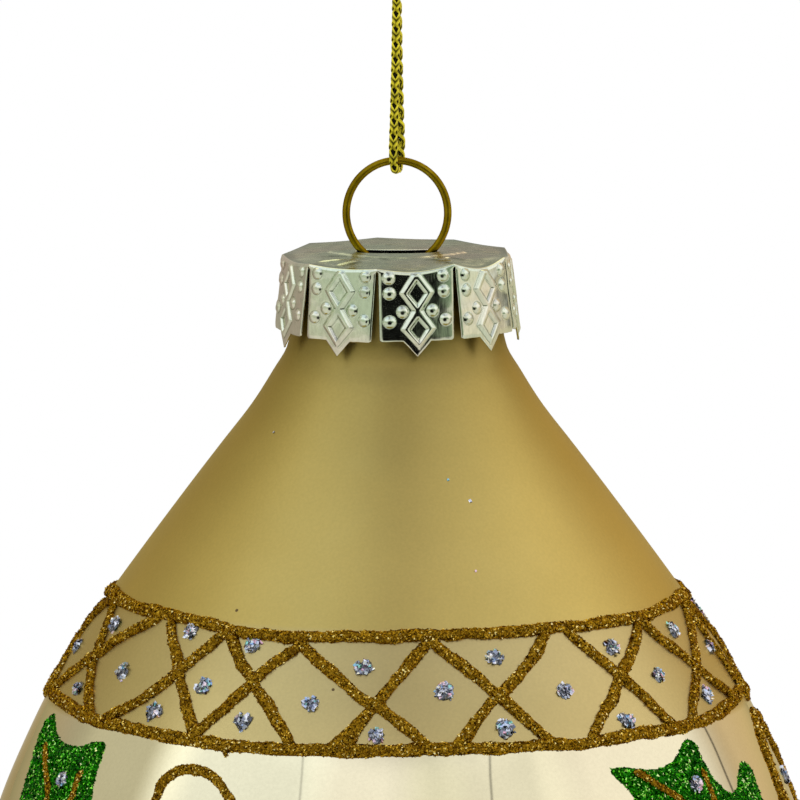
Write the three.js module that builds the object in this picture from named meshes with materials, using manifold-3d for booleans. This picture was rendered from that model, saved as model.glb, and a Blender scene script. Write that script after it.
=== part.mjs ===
// A blown-glass drop ornament with a stamped crown cap, a bent-wire hanger and a
// knotted metallic cord. Millimetres, +Z up. The origin is the inner top of the
// cord's hanging loop, where a hook carries the ornament; everything else hangs
// below it on the Z axis. The front of the ornament faces -Y.

import * as THREE from 'three';
import { mergeVertices } from 'three/addons/utils/BufferGeometryUtils.js';
import Module from 'manifold-3d';

const wasm = await Module();
wasm.setup();

// ---------------------------------------------------------------- dimensions
const DEG = Math.PI / 180;

const PLATE_DROP = 70;            // hook point down to the top face of the cap's plate

// glass: [depth below the cap plate, outer radius]
const RIM_DEPTH = 0.7;
const NECK_RADIUS = 11.0;
const WALL = 0.9;
const BODY_PROFILE = [
  [RIM_DEPTH, NECK_RADIUS], [7.4, NECK_RADIUS], [9.65, 11.4], [12.4, 12.94], [15.7, 14.99],
  [19.9, 18.19], [24.2, 21.45], [33.7, 28.43], [36.9, 30.7], [41.06, 33.43], [45.18, 35.82],
  [49.5, 37.98], [57.65, 41.43], [64.0, 43.35], [71.0, 44.85], [78.0, 45.55], [84.5, 45.5],
  [91.0, 44.45], [97.5, 42.4], [104.5, 39.0], [111.5, 34.5], [117.0, 30.3], [123.0, 25.5],
  [131.0, 19.2], [139.0, 13.7], [147.0, 9.1], [155.0, 5.5], [161.5, 3.2], [165.6, 1.7], [166.6, 0],
];
const INNER_TIP_DEPTH = 156.5;    // the pulled tip is solid below this
const BODY_SEGMENTS = 36;

// crown cap, stamped from one sheet
const SHEET = 0.35;
const CAP_RADIUS = 12.0;          // outside, at the bend
const CAP_FLARE = 0.7;            // how much wider the petals stand at their hem
const PETALS = 9;
const PETAL_FIRST = 10;           // degrees from the front to the first petal's middle
const PETAL_HEM = 7.35;           // plate top to the straight hem
const PETAL_POINT = 9.15;         // plate top to the middle point of the hem
const SLIT_TOP = 0.16;            // gap between petals under the bend
const SLIT_HEM = 0.75;            // gap between petals at the hem
const SLOT_LENGTH = 8.6;
const SLOT_WIDTH = 2.8;

// wire hanger
const WIRE_RADIUS = 0.4;
const RING_HEIGHT = 4.2;          // ring centre above the plate
const RING_RX = 5.28;
const RING_RZ = 5.5;
const LEG = [                     // half of the spring legs, [x, height above the plate]
  [2.55, -1.15], [2.25, -2.6], [2.45, -4.8], [3.7, -8.2], [5.6, -11.9], [7.5, -15.2],
  [8.75, -17.8], [9.1, -19.4],
];

// cord
const CORD_RADIUS = 0.45;
const CORD_SIDES = 8;
const STRAND_GAP = 0.5;           // each strand of the doubled cord stands this far from the axis
const WRAP_DROP = 1.0;            // cord centre below wire centre where it turns under the ring
const BEND_RADIUS = 1.8;          // of that turn, two cord diameters
const KNOT_BOTTOM = 29.5;         // above the plate
const KNOT_TOP = 33.9;
const KNOT_RADIUS = 2.0;
const LOOP_RADIUS = 3.0;          // centre of the cord at the top of the hanging loop

// glitter bead lattices: raised lines on the glass
const BEAD_WIDTH = 1.25;
const BEAD_HEIGHT = 0.55;
const BEAD_GAP = 0.3;
const UPPER_BAND = [36.1, 46.8];  // depths of the two rings
const LOWER_BAND = [111.9, 120.9];
// each pair is a diagonal: angle at the band's top ring, angle at its bottom ring
const UPPER_DIAGONALS = [
  [-88, -62], [-51.7, -89.5], [-54.5, -35.6], [-37, -56.5], [-36, -17], [-19, -35.8], [-20.2, 5.4],
  [5.6, -13], [6.5, 25.8], [30, 9], [36.6, 50.8], [54.9, 31.6], [57, 79], [80, 57], [81, 104],
  [103, 83], [105, 128], [129, 107], [130, 155], [153, 131], [155, 176], [178, 156.5], [179, 203],
  [201, 181], [203, 224], [226, 205], [228, 250], [249, 229], [251, 269], [271, 253],
];
const LOWER_TOPS = [-84, -59, -36, -13, 12, 36, 59, 84, 108, 131, 156, 181, 204, 228, 252];

// ------------------------------------------------------------------- helpers
const plateZ = -PLATE_DROP;

function cleaned(geometry) {
  const g = geometry.clone();
  for (const name of Object.keys(g.attributes)) if (name !== 'position') g.deleteAttribute(name);
  const merged = mergeVertices(g, 1e-4);
  const from = merged.index.array;
  const index = [];
  for (let i = 0; i < from.length; i += 3) {
    const [a, b, c] = [from[i], from[i + 1], from[i + 2]];
    if (a !== b && b !== c && c !== a) index.push(a, b, c);
  }
  merged.setIndex(index);
  const p = merged.getAttribute('position');
  let volume = 0;
  for (let i = 0; i < index.length; i += 3) {
    const a = new THREE.Vector3().fromBufferAttribute(p, index[i]);
    const b = new THREE.Vector3().fromBufferAttribute(p, index[i + 1]);
    const c = new THREE.Vector3().fromBufferAttribute(p, index[i + 2]);
    volume += a.dot(b.cross(c));
  }
  if (volume < 0) {
    for (let i = 0; i < index.length; i += 3) [index[i + 1], index[i + 2]] = [index[i + 2], index[i + 1]];
    merged.setIndex(index);
  }
  return merged;
}

function toSolid(geometry) {
  const g = cleaned(geometry);
  return new wasm.Manifold(new wasm.Mesh({
    numProp: 3,
    vertProperties: new Float32Array(g.getAttribute('position').array),
    triVerts: new Uint32Array(g.index.array),
  }));
}

function fromSolid(solid) {
  const mesh = solid.getMesh();
  const g = new THREE.BufferGeometry();
  const pos = new Float32Array(mesh.numVert * 3);
  for (let i = 0; i < mesh.numVert; i++) {
    for (let k = 0; k < 3; k++) pos[3 * i + k] = mesh.vertProperties[i * mesh.numProp + k];
  }
  g.setAttribute('position', new THREE.BufferAttribute(pos, 3));
  g.setIndex(new THREE.BufferAttribute(new Uint32Array(mesh.triVerts), 1));
  return g;
}

const joined = (geometries) => fromSolid(geometries.map(toSolid).reduce((a, b) => a.add(b)));

// closed skin over rings of points: rings[i][j], every ring the same length
function skin(rings, { closedAlong = false } = {}) {
  const n = rings.length;
  const m = rings[0].length;
  const pos = rings.flat().flatMap((p) => [p.x, p.y, p.z]);
  const index = [];
  const last = closedAlong ? n : n - 1;
  for (let i = 0; i < last; i++) {
    const k = (i + 1) % n;
    for (let j = 0; j < m; j++) {
      const l = (j + 1) % m;
      index.push(i * m + j, k * m + j, k * m + l, i * m + j, k * m + l, i * m + l);
    }
  }
  if (!closedAlong) {
    for (let j = 1; j < m - 1; j++) {
      index.push(0, j, j + 1);
      index.push((n - 1) * m, (n - 1) * m + j + 1, (n - 1) * m + j);
    }
  }
  const g = new THREE.BufferGeometry();
  g.setAttribute('position', new THREE.BufferAttribute(new Float32Array(pos), 3));
  g.setIndex(index);
  return g;
}

// a slab between an outer and an inner grid of points
function slab(outer, inner) {
  const rows = outer.length;
  const cols = outer[0].length;
  const pos = [...outer.flat(), ...inner.flat()].flatMap((p) => [p.x, p.y, p.z]);
  const o = (i, j) => i * cols + j;
  const q = (i, j) => rows * cols + i * cols + j;
  const index = [];
  const quad = (a, b, c, d) => index.push(a, b, c, a, c, d);
  for (let i = 0; i < rows - 1; i++) {
    for (let j = 0; j < cols - 1; j++) {
      quad(o(i, j), o(i, j + 1), o(i + 1, j + 1), o(i + 1, j));
      quad(q(i, j), q(i + 1, j), q(i + 1, j + 1), q(i, j + 1));
    }
    quad(o(i, 0), o(i + 1, 0), q(i + 1, 0), q(i, 0));
    quad(o(i, cols - 1), q(i, cols - 1), q(i + 1, cols - 1), o(i + 1, cols - 1));
  }
  for (let j = 0; j < cols - 1; j++) {
    quad(o(0, j), q(0, j), q(0, j + 1), o(0, j + 1));
    quad(o(rows - 1, j), o(rows - 1, j + 1), q(rows - 1, j + 1), q(rows - 1, j));
  }
  const g = new THREE.BufferGeometry();
  g.setAttribute('position', new THREE.BufferAttribute(new Float32Array(pos), 3));
  g.setIndex(index);
  return g;
}

function tube(points, radius, sides, steps) {
  const curve = new THREE.CatmullRomCurve3(points.map((p) => new THREE.Vector3(...p)), false, 'centripetal');
  const section = new THREE.Shape();
  for (let i = 0; i <= sides; i++) {
    const a = (i / sides) * 2 * Math.PI;
    if (i === 0) section.moveTo(radius, 0);
    else if (i < sides) section.lineTo(radius * Math.cos(a), radius * Math.sin(a));
  }
  section.closePath();
  return new THREE.ExtrudeGeometry(section, { extrudePath: curve, steps, curveSegments: 1, bevelEnabled: false });
}

const colours = {
  glass: [0xb59f5e, 0.38, 0.65],
  tin: [0xc9cbc6, 0.28, 1.0],
  wire: [0x6e5418, 0.35, 1.0],
  cord: [0xa79a1c, 0.5, 0.6],
  glitter: [0x7a5a12, 0.6, 0.8],
};
function part(name, geometry, finish) {
  const [color, roughness, metalness] = colours[finish];
  const g = cleaned(geometry);
  g.computeVertexNormals();
  const mesh = new THREE.Mesh(g, new THREE.MeshStandardMaterial({ color, roughness, metalness }));
  mesh.name = name;
  return mesh;
}

// ---------------------------------------------------------------- glass body
function bodyRadius(depth) {
  for (let i = 1; i < BODY_PROFILE.length; i++) {
    const [d0, r0] = BODY_PROFILE[i - 1];
    const [d1, r1] = BODY_PROFILE[i];
    if (depth <= d1) return r0 + ((r1 - r0) * (depth - d0)) / (d1 - d0);
  }
  return 0;
}

// a point over the glass: angle from the front, depth below the plate, height off the surface
function onBody(angle, depth, lift) {
  const slope = (bodyRadius(depth + 0.6) - bodyRadius(depth - 0.6)) / 1.2;
  const k = Math.hypot(1, slope);
  const r = bodyRadius(depth) + lift / k;
  const z = -depth + (lift * slope) / k;
  const a = angle * DEG;
  return new THREE.Vector3(r * Math.sin(a), -r * Math.cos(a), z);
}

function makeGlass() {
  const outer = BODY_PROFILE.map(([d, r]) => new THREE.Vector2(r, -d));
  const inner = [];
  for (let i = 1; i < outer.length - 1; i++) {
    const t = outer[i + 1].clone().sub(outer[i - 1]).normalize();
    const p = new THREE.Vector2(outer[i].x + t.y * WALL, outer[i].y - t.x * WALL);
    if (-p.y < INNER_TIP_DEPTH - 1.5 && p.x > 1.5 && (i < 8 || i % 2 === 0)) inner.push(p);
  }
  inner.unshift(new THREE.Vector2(NECK_RADIUS - WALL, -RIM_DEPTH));
  inner.push(new THREE.Vector2(0, -INNER_TIP_DEPTH));
  const profile = [...[...outer].reverse(), ...inner];
  const g = new THREE.LatheGeometry(profile, BODY_SEGMENTS);
  g.rotateX(Math.PI / 2);
  return g;
}

// ---------------------------------------------------------------- crown cap
function makeCap() {
  const disc = new THREE.Shape();
  const edge = CAP_RADIUS - 0.16;
  for (let a = 0; a < 360; a += 10) {
    if (a === 0) disc.moveTo(edge, 0);
    else disc.lineTo(edge * Math.cos(a * DEG), edge * Math.sin(a * DEG));
  }
  disc.closePath();
  const slot = new THREE.Path();
  const half = (SLOT_LENGTH - SLOT_WIDTH) / 2;
  slot.absarc(half, 0, SLOT_WIDTH / 2, -Math.PI / 2, Math.PI / 2, false);
  slot.absarc(-half, 0, SLOT_WIDTH / 2, Math.PI / 2, (3 * Math.PI) / 2, false);
  slot.closePath();
  disc.holes.push(slot);
  const plate = new THREE.ExtrudeGeometry(disc, { depth: SHEET, bevelEnabled: false, curveSegments: 7 });
  plate.translate(0, 0, -SHEET);
  const petals = [];
  for (let k = 0; k < PETALS; k++) {
    const middle = (PETAL_FIRST + (360 / PETALS) * k) * DEG;
    const rowsOf = (inset) => [
      [0, CAP_RADIUS - 0.3], [-0.45, CAP_RADIUS], [null, CAP_RADIUS + CAP_FLARE],
    ].map(([z, r]) => [-1, -0.5, 0, 0.5, 1].map((u) => {
      const hem = Math.abs(u) < 0.1 ? -PETAL_POINT : -PETAL_HEM + (Math.abs(u) > 0.9 ? 0.3 : 0);
      const depth = z === null ? hem : z;
      const t = Math.min(1, Math.max(0, -depth / PETAL_HEM));
      const slit = SLIT_TOP + (SLIT_HEM - SLIT_TOP) * t;
      const halfAngle = Math.PI / PETALS - slit / 2 / CAP_RADIUS;
      const a = middle + u * halfAngle;
      const flat = 0.12 * (1 - u * u);
      const rr = r - flat - inset;
      return new THREE.Vector3(rr * Math.sin(a), -rr * Math.cos(a), depth);
    }));
    petals.push(slab(rowsOf(0), rowsOf(SHEET)));
  }
  return joined([plate, ...petals]);
}

// -------------------------------------------------------------- wire hanger
function makeHanger() {
  const right = [...LEG].reverse().map(([x, z]) => [x, 0, z]);
  const ring = [];
  const start = Math.asin(-RING_HEIGHT / RING_RZ);
  const count = 18;
  for (let i = 0; i <= count; i++) {
    const a = start + ((Math.PI - 2 * start) * i) / count;
    ring.push([RING_RX * Math.cos(a), 0, RING_HEIGHT + RING_RZ * Math.sin(a)]);
  }
  const left = LEG.map(([x, z]) => [-x, 0, z]);
  return tube([...right, ...ring, ...left], WIRE_RADIUS, 8, 60);
}

// --------------------------------------------------------------------- cord
const RING_TOP = RING_HEIGHT + RING_RZ;   // wire centre at the top of the ring
function makeLowerCord() {
  const top = KNOT_BOTTOM - 0.7;
  const front = [
    [-0.05, -STRAND_GAP, top], [-0.1, -STRAND_GAP - 0.12, 24], [-0.2, -STRAND_GAP - 0.45, 18.5],
    [-0.32, -STRAND_GAP - 0.92, 14], [-0.4, -BEND_RADIUS + 0.06, 11.8],
  ];
  const bend = RING_TOP - WRAP_DROP + BEND_RADIUS;
  const turn = [0, 20, 40, 60, 80, 100, 120, 140, 160, 180].map((a) => [
    -0.4 * Math.cos(a * DEG), -BEND_RADIUS * Math.cos(a * DEG), bend - BEND_RADIUS * Math.sin(a * DEG),
  ]);
  const back = [...front].reverse().map(([x, y, z]) => [-x, -y, z]);
  return tube([...front, ...turn, ...back], CORD_RADIUS, CORD_SIDES, 64);
}

function makeUpperCord() {
  const bottom = KNOT_TOP + 0.4;
  const centre = PLATE_DROP + CORD_RADIUS - LOOP_RADIUS;
  const left = [[-0.55, 0, bottom], [-0.85, 0, 40], [-1.5, 0, 48], [-2.3, 0, 57], [-2.85, 0, 63.5]];
  const arc = [];
  for (let a = 180; a >= 0; a -= 22.5) {
    arc.push([LOOP_RADIUS * Math.cos(a * DEG), 0, centre + LOOP_RADIUS * Math.sin(a * DEG)]);
  }
  const right = [...left].reverse().map(([x, y, z]) => [-x, y, z]);
  return tube([...left, ...arc, ...right], CORD_RADIUS, CORD_SIDES, 50);
}

function makeKnot() {
  const r = KNOT_RADIUS;
  const outline = [
    [0, KNOT_BOTTOM], [0.5 * r, KNOT_BOTTOM + 0.1], [0.85 * r, KNOT_BOTTOM + 0.65], [r, KNOT_BOTTOM + 1.6],
    [r, KNOT_TOP - 1.6], [0.85 * r, KNOT_TOP - 0.65], [0.5 * r, KNOT_TOP - 0.1], [0, KNOT_TOP],
  ].map(([x, y]) => new THREE.Vector2(x, y));
  const barrel = new THREE.LatheGeometry(outline, 12);
  barrel.rotateX(Math.PI / 2);
  barrel.scale(1, 0.85, 1);
  const tailA = tube([[0.9, -0.2, 32.4], [2.2, -0.5, 32.9], [4.0, -0.9, 34.0], [5.9, -1.2, 35.9]], CORD_RADIUS, CORD_SIDES, 4);
  const tailB = tube([[-0.9, 0.3, 32.6], [-2.2, 0.7, 33.2], [-3.7, 1.3, 34.6], [-4.9, 1.9, 36.8]], CORD_RADIUS, CORD_SIDES, 4);
  return joined([barrel, tailA, tailB]);
}

// ------------------------------------------------------------------ lattices
// a raised line over the glass along [angle, depth] points
function bead(points, closedAlong = false) {
  const half = BEAD_WIDTH / 2;
  const rings = points.map(([angle, depth], i) => {
    const n = points.length;
    const before = closedAlong ? points[(i + n - 1) % n] : points[Math.max(0, i - 1)];
    const after = closedAlong ? points[(i + 1) % n] : points[Math.min(n - 1, i + 1)];
    let turn = after[0] - before[0];
    if (closedAlong && turn < -180) turn += 360;
    const here = onBody(angle, depth, 0);
    const radius = Math.hypot(here.x, here.y);
    const slope = (bodyRadius(depth + 0.6) - bodyRadius(depth - 0.6)) / 1.2;
    const along = turn * DEG * radius;                 // travel around
    const down = (after[1] - before[1]) * Math.hypot(1, slope);
    const len = Math.hypot(along, down);
    // sideways step, in degrees around and millimetres of depth
    const sa = (w) => ((w * down) / len / radius) / DEG;
    const sd = (w) => (-(w * along) / len) / Math.hypot(1, slope);
    const at = (w, h) => onBody(angle + sa(w), depth + sd(w), BEAD_GAP + h);
    return [at(-half, 0), at(0, BEAD_HEIGHT), at(half, 0)];
  });
  return skin(rings, { closedAlong });
}

function makeLattice(band, diagonals) {
  const parts = [];
  for (const depth of band) {
    const points = [];
    for (let a = 0; a < 360; a += 10) points.push([a, depth]);
    parts.push(bead(points, true));
  }
  for (const [top, bottom] of diagonals) {
    const points = [];
    for (let i = 0; i <= 3; i++) {
      const t = i / 3;
      points.push([top + (bottom - top) * t, band[0] + (band[1] - band[0]) * t]);
    }
    parts.push(bead(points));
  }
  return joined(parts);
}

const lowerDiagonals = LOWER_TOPS.flatMap((a, i) => {
  const next = i + 1 < LOWER_TOPS.length ? LOWER_TOPS[i + 1] : LOWER_TOPS[0] + 360;
  return [[a + 0.5, next - 0.5], [next - 0.5, a + 0.5]];
});

// ----------------------------------------------------------------- assembly
const ornament = new THREE.Group();

const cord = new THREE.Group();            // hangs from the hook, heights above the plate
cord.position.z = plateZ;
cord.add(part('cord_hanging_loop', makeUpperCord(), 'cord'));
cord.add(part('cord_knot', makeKnot(), 'cord'));
cord.add(part('cord_ring_loop', makeLowerCord(), 'cord'));

const top = new THREE.Group();             // cap and hanger
top.position.z = plateZ;
top.add(part('wire_hanger', makeHanger(), 'wire'));
top.add(part('crown_cap', makeCap(), 'tin'));

const body = new THREE.Group();            // glass and what is bonded to it
body.position.z = plateZ;
body.add(part('glass_body', makeGlass(), 'glass'));
body.add(part('glitter_lattice_upper', makeLattice(UPPER_BAND, UPPER_DIAGONALS), 'glitter'));
body.add(part('glitter_lattice_lower', makeLattice(LOWER_BAND, lowerDiagonals), 'glitter'));

ornament.add(cord, top, body);

export default ornament;
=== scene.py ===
import math

import bpy
import numpy as np
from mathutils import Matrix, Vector, geometry


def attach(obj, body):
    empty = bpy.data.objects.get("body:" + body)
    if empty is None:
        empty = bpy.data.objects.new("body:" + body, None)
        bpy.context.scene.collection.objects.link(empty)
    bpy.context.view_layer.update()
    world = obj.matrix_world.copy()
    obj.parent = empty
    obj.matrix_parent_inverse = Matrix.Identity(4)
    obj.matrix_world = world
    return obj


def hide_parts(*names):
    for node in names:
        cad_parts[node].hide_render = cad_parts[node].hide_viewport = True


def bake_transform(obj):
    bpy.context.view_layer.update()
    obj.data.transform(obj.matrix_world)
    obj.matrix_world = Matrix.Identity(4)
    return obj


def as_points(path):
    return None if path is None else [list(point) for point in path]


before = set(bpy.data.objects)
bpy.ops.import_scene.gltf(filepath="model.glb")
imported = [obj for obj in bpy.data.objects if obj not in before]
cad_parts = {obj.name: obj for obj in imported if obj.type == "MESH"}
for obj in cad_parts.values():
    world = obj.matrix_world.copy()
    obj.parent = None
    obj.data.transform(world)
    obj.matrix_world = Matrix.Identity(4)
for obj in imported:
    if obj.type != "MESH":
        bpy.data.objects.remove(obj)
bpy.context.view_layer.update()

MM = 0.001
PLATE = -70.0                       # the cap plate's top face, mm
DEG = math.pi / 180
scene = bpy.context.scene

# ------------------------------------------------------------------ camera
EL = 8 * DEG
SPAN = 0.0832                       # metres across the picture at the ornament
DIST = 3.4
cam_up = Vector((0, math.sin(EL), math.cos(EL)))
cam_fwd = Vector((0, math.cos(EL), -math.sin(EL)))
look = Vector((0.000312, 0, -0.070)) + cam_up * (-0.015288)
cam_data = bpy.data.cameras.new("camera")
cam_data.lens = 36 * DIST / SPAN
cam_data.sensor_width = 36
cam_data.clip_start, cam_data.clip_end = 0.1, 200
cam = bpy.data.objects.new("camera", cam_data)
scene.collection.objects.link(cam)
cam.location = look - cam_fwd * DIST
cam.rotation_mode = "QUATERNION"
cam.rotation_quaternion = cam_fwd.to_track_quat("-Z", "Y")
scene.camera = cam


# ------------------------------------------------------------ mesh helpers
def unit(v):
    return v / np.maximum(np.linalg.norm(v, axis=-1, keepdims=True), 1e-12)


def build(name, parts, mats):
    """One mesh from parts: (points in mm, list of (faces array, material index, smooth))."""
    verts, loops, totals, index, smooth, base = [], [], [], [], [], 0
    for pts, groups in parts:
        pts = np.asarray(pts, float)
        for faces, slot, soft in groups:
            faces = np.asarray(faces, np.int64)
            if not len(faces):
                continue
            loops.append((faces + base).ravel())
            totals.append(np.full(len(faces), faces.shape[1], np.int64))
            index.append(np.full(len(faces), slot, np.int32))
            smooth.append(np.full(len(faces), soft, bool))
        verts.append(pts)
        base += len(pts)
    v = np.concatenate(verts) * MM
    loops, totals = np.concatenate(loops), np.concatenate(totals)
    starts = np.concatenate([[0], np.cumsum(totals)[:-1]])
    me = bpy.data.meshes.new(name)
    me.vertices.add(len(v))
    me.vertices.foreach_set("co", v.astype(np.float32).ravel())
    me.loops.add(len(loops))
    me.loops.foreach_set("vertex_index", loops.astype(np.int32))
    me.polygons.add(len(totals))
    me.polygons.foreach_set("loop_start", starts.astype(np.int32))
    me.polygons.foreach_set("material_index", np.concatenate(index))
    me.polygons.foreach_set("use_smooth", np.concatenate(smooth))
    me.update(calc_edges=True)
    me.validate()
    for m in mats:
        me.materials.append(m)
    o = bpy.data.objects.new(name, me)
    scene.collection.objects.link(o)
    return o


def catmull(points, step):
    """Evenly spaced points of a smooth curve through these points."""
    p = np.asarray(points, float)
    knots = np.concatenate([[0], np.cumsum(np.linalg.norm(np.diff(p, axis=0), axis=1) ** 0.5)])
    ext = np.vstack([2 * p[0] - p[1], p, 2 * p[-1] - p[-2]])
    ek = np.concatenate([[2 * knots[0] - knots[1]], knots, [2 * knots[-1] - knots[-2]]])
    out = []
    for i in range(1, len(p)):
        t = np.linspace(0, 1, 40, endpoint=i == len(p) - 1)[:, None]
        t0, t1, t2, t3 = ek[i - 1:i + 3]
        p0, p1, p2, p3 = ext[i - 1:i + 3]
        x = t1 + t * (t2 - t1)
        a1 = (t1 - x) / (t1 - t0) * p0 + (x - t0) / (t1 - t0) * p1
        a2 = (t2 - x) / (t2 - t1) * p1 + (x - t1) / (t2 - t1) * p2
        a3 = (t3 - x) / (t3 - t2) * p2 + (x - t2) / (t3 - t2) * p3
        b1 = (t2 - x) / (t2 - t0) * a1 + (x - t0) / (t2 - t0) * a2
        b2 = (t3 - x) / (t3 - t1) * a2 + (x - t1) / (t3 - t1) * a3
        out.append((t2 - x) / (t2 - t1) * b1 + (x - t1) / (t2 - t1) * b2)
    q = np.vstack(out)
    s = np.concatenate([[0], np.cumsum(np.linalg.norm(np.diff(q, axis=0), axis=1))])
    n = max(2, int(round(s[-1] / step)) + 1)
    at = np.linspace(0, s[-1], n)
    return np.stack([np.interp(at, s, q[:, k]) for k in range(q.shape[1])], 1), s[-1]


def frames(path, normal):
    """Tangents and two turning-free side directions along a path."""
    t = unit(np.gradient(path, axis=0))
    n = np.zeros_like(path)
    n0 = np.asarray(normal, float)
    for i in range(len(path)):
        n0 = n0 - t[i] * np.dot(n0, t[i])
        n0 = n0 / np.linalg.norm(n0)
        n[i] = n0
    return t, n, np.cross(t, n)


def tube_faces(rings, sides, closed_ends=True):
    i = np.arange(rings - 1)[:, None] * sides
    j = np.arange(sides)[None, :]
    k = (j + 1) % sides
    quads = np.stack([i + j, i + k, i + sides + k, i + sides + j], -1).reshape(-1, 4)
    if not closed_ends:
        return quads, np.zeros((0, 3), int)
    c = np.arange(1, sides - 1)
    last = (rings - 1) * sides
    tris = np.concatenate([
        np.stack([np.zeros_like(c), c + 1, c], -1),
        np.stack([np.full_like(c, last), last + c, last + c + 1], -1)])
    return quads, tris


def lattice_noise(x, y, seed, size):
    """Smooth value noise from -1 to 1 over a plane."""
    g = np.random.default_rng(seed).uniform(-1, 1, (64, 64))
    u, v = np.asarray(x) / size, np.asarray(y) / size
    i, j = np.floor(u).astype(int), np.floor(v).astype(int)
    a, b = u - i, v - j
    a, b = a * a * (3 - 2 * a), b * b * (3 - 2 * b)
    f = lambda p, q: g[p % 64, q % 64]
    return ((f(i, j) * (1 - a) + f(i + 1, j) * a) * (1 - b)
            + (f(i, j + 1) * (1 - a) + f(i + 1, j + 1) * a) * b)


def line_noise(s, size, rng):
    n = int(np.max(s) / size) + 4
    g = rng.uniform(-1, 1, n)
    u = np.asarray(s) / size
    i = np.clip(np.floor(u).astype(int), 0, n - 2)
    a = u - i
    a = a * a * (3 - 2 * a)
    return g[i] * (1 - a) + g[i + 1] * a


def step_up(x, a, b):
    t = np.clip((x - a) / (b - a), 0, 1)
    return t * t * (3 - 2 * t)


# -------------------------------------------------------- material helpers
def material(name, color=(0.8, 0.8, 0.8), metallic=0.0, rough=0.5, **more):
    m = bpy.data.materials.new(name)
    m.use_nodes = True
    nt = m.node_tree
    b = nt.nodes["Principled BSDF"]
    b.inputs["Base Color"].default_value = (*color, 1)
    b.inputs["Metallic"].default_value = metallic
    b.inputs["Roughness"].default_value = rough
    for k, v in more.items():
        b.inputs[k.replace("_", " ")].default_value = v
    m.diffuse_color = (*color, 1)
    return m, nt, b


def add(nt, kind, **props):
    n = nt.nodes.new(kind)
    for k, v in props.items():
        if hasattr(n, k) and k not in n.inputs:
            setattr(n, k, v)
        else:
            n.inputs[k].default_value = v
    return n


def ramp(nt, fac, stops, mode="LINEAR"):
    r = nt.nodes.new("ShaderNodeValToRGB")
    r.color_ramp.interpolation = mode
    els = r.color_ramp.elements
    while len(els) < len(stops):
        els.new(0.5)
    for e, (p, c) in zip(els, stops):
        e.position = p
        e.color = (*c, 1) if len(c) == 3 else c
    if fac is not None:
        nt.links.new(fac, r.inputs[0])
    return r.outputs["Color"]


def ramp1(nt, fac, stops, mode="LINEAR"):
    return ramp(nt, fac, [(p, (v, v, v)) for p, v in stops], mode)


def math_node(nt, op, a, b=None, c=None, clamp=False):
    n = nt.nodes.new("ShaderNodeMath")
    n.operation = op
    n.use_clamp = clamp
    for i, x in enumerate((a, b, c)):
        if x is None:
            continue
        if isinstance(x, (int, float)):
            n.inputs[i].default_value = x
        else:
            nt.links.new(x, n.inputs[i])
    return n.outputs[0]


def mix_color(nt, fac, a, b, blend="MIX"):
    n = nt.nodes.new("ShaderNodeMix")
    n.data_type = "RGBA"
    n.blend_type = blend
    for sock, x in ((n.inputs[0], fac), (n.inputs[6], a), (n.inputs[7], b)):
        if isinstance(x, (int, float)):
            sock.default_value = x
        elif isinstance(x, tuple):
            sock.default_value = (*x, 1)
        else:
            nt.links.new(x, sock)
    return n.outputs[2]


def coords(nt, stretch=None):
    c = nt.nodes.new("ShaderNodeTexCoord").outputs["Object"]
    if stretch is None:
        return c
    m = nt.nodes.new("ShaderNodeMapping")
    m.inputs["Scale"].default_value = stretch
    nt.links.new(c, m.inputs["Vector"])
    return m.outputs["Vector"]


def noise(nt, vec, scale, detail=2.0, rough=0.5, out="Fac"):
    n = nt.nodes.new("ShaderNodeTexNoise")
    n.inputs["Scale"].default_value = scale
    n.inputs["Detail"].default_value = detail
    n.inputs["Roughness"].default_value = rough
    nt.links.new(vec, n.inputs["Vector"])
    return n.outputs[out]


def bump(nt, height, distance, strength=1.0, normal=None):
    n = nt.nodes.new("ShaderNodeBump")
    n.inputs["Strength"].default_value = strength
    n.inputs["Distance"].default_value = distance
    nt.links.new(height, n.inputs["Height"])
    if normal is not None:
        nt.links.new(normal, n.inputs["Normal"])
    return n.outputs[0]


def facet_normal(nt, cell, amount):
    """Each tiny cell of the surface faces its own way, as loose glitter does."""
    v = nt.nodes.new("ShaderNodeTexVoronoi")
    v.inputs["Scale"].default_value = 1 / cell
    nt.links.new(coords(nt), v.inputs["Vector"])
    s = add(nt, "ShaderNodeVectorMath", operation="SUBTRACT")
    nt.links.new(v.outputs["Color"], s.inputs[0])
    s.inputs[1].default_value = (0.5, 0.5, 0.5)
    k = add(nt, "ShaderNodeVectorMath", operation="SCALE")
    nt.links.new(s.outputs[0], k.inputs[0])
    k.inputs["Scale"].default_value = amount
    g = nt.nodes.new("ShaderNodeNewGeometry")
    a = add(nt, "ShaderNodeVectorMath", operation="ADD")
    nt.links.new(k.outputs[0], a.inputs[0])
    nt.links.new(g.outputs["Normal"], a.inputs[1])
    n = add(nt, "ShaderNodeVectorMath", operation="NORMALIZE")
    nt.links.new(a.outputs[0], n.inputs[0])
    return n.outputs[0], v.outputs["Color"], v.outputs["Distance"]


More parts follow.
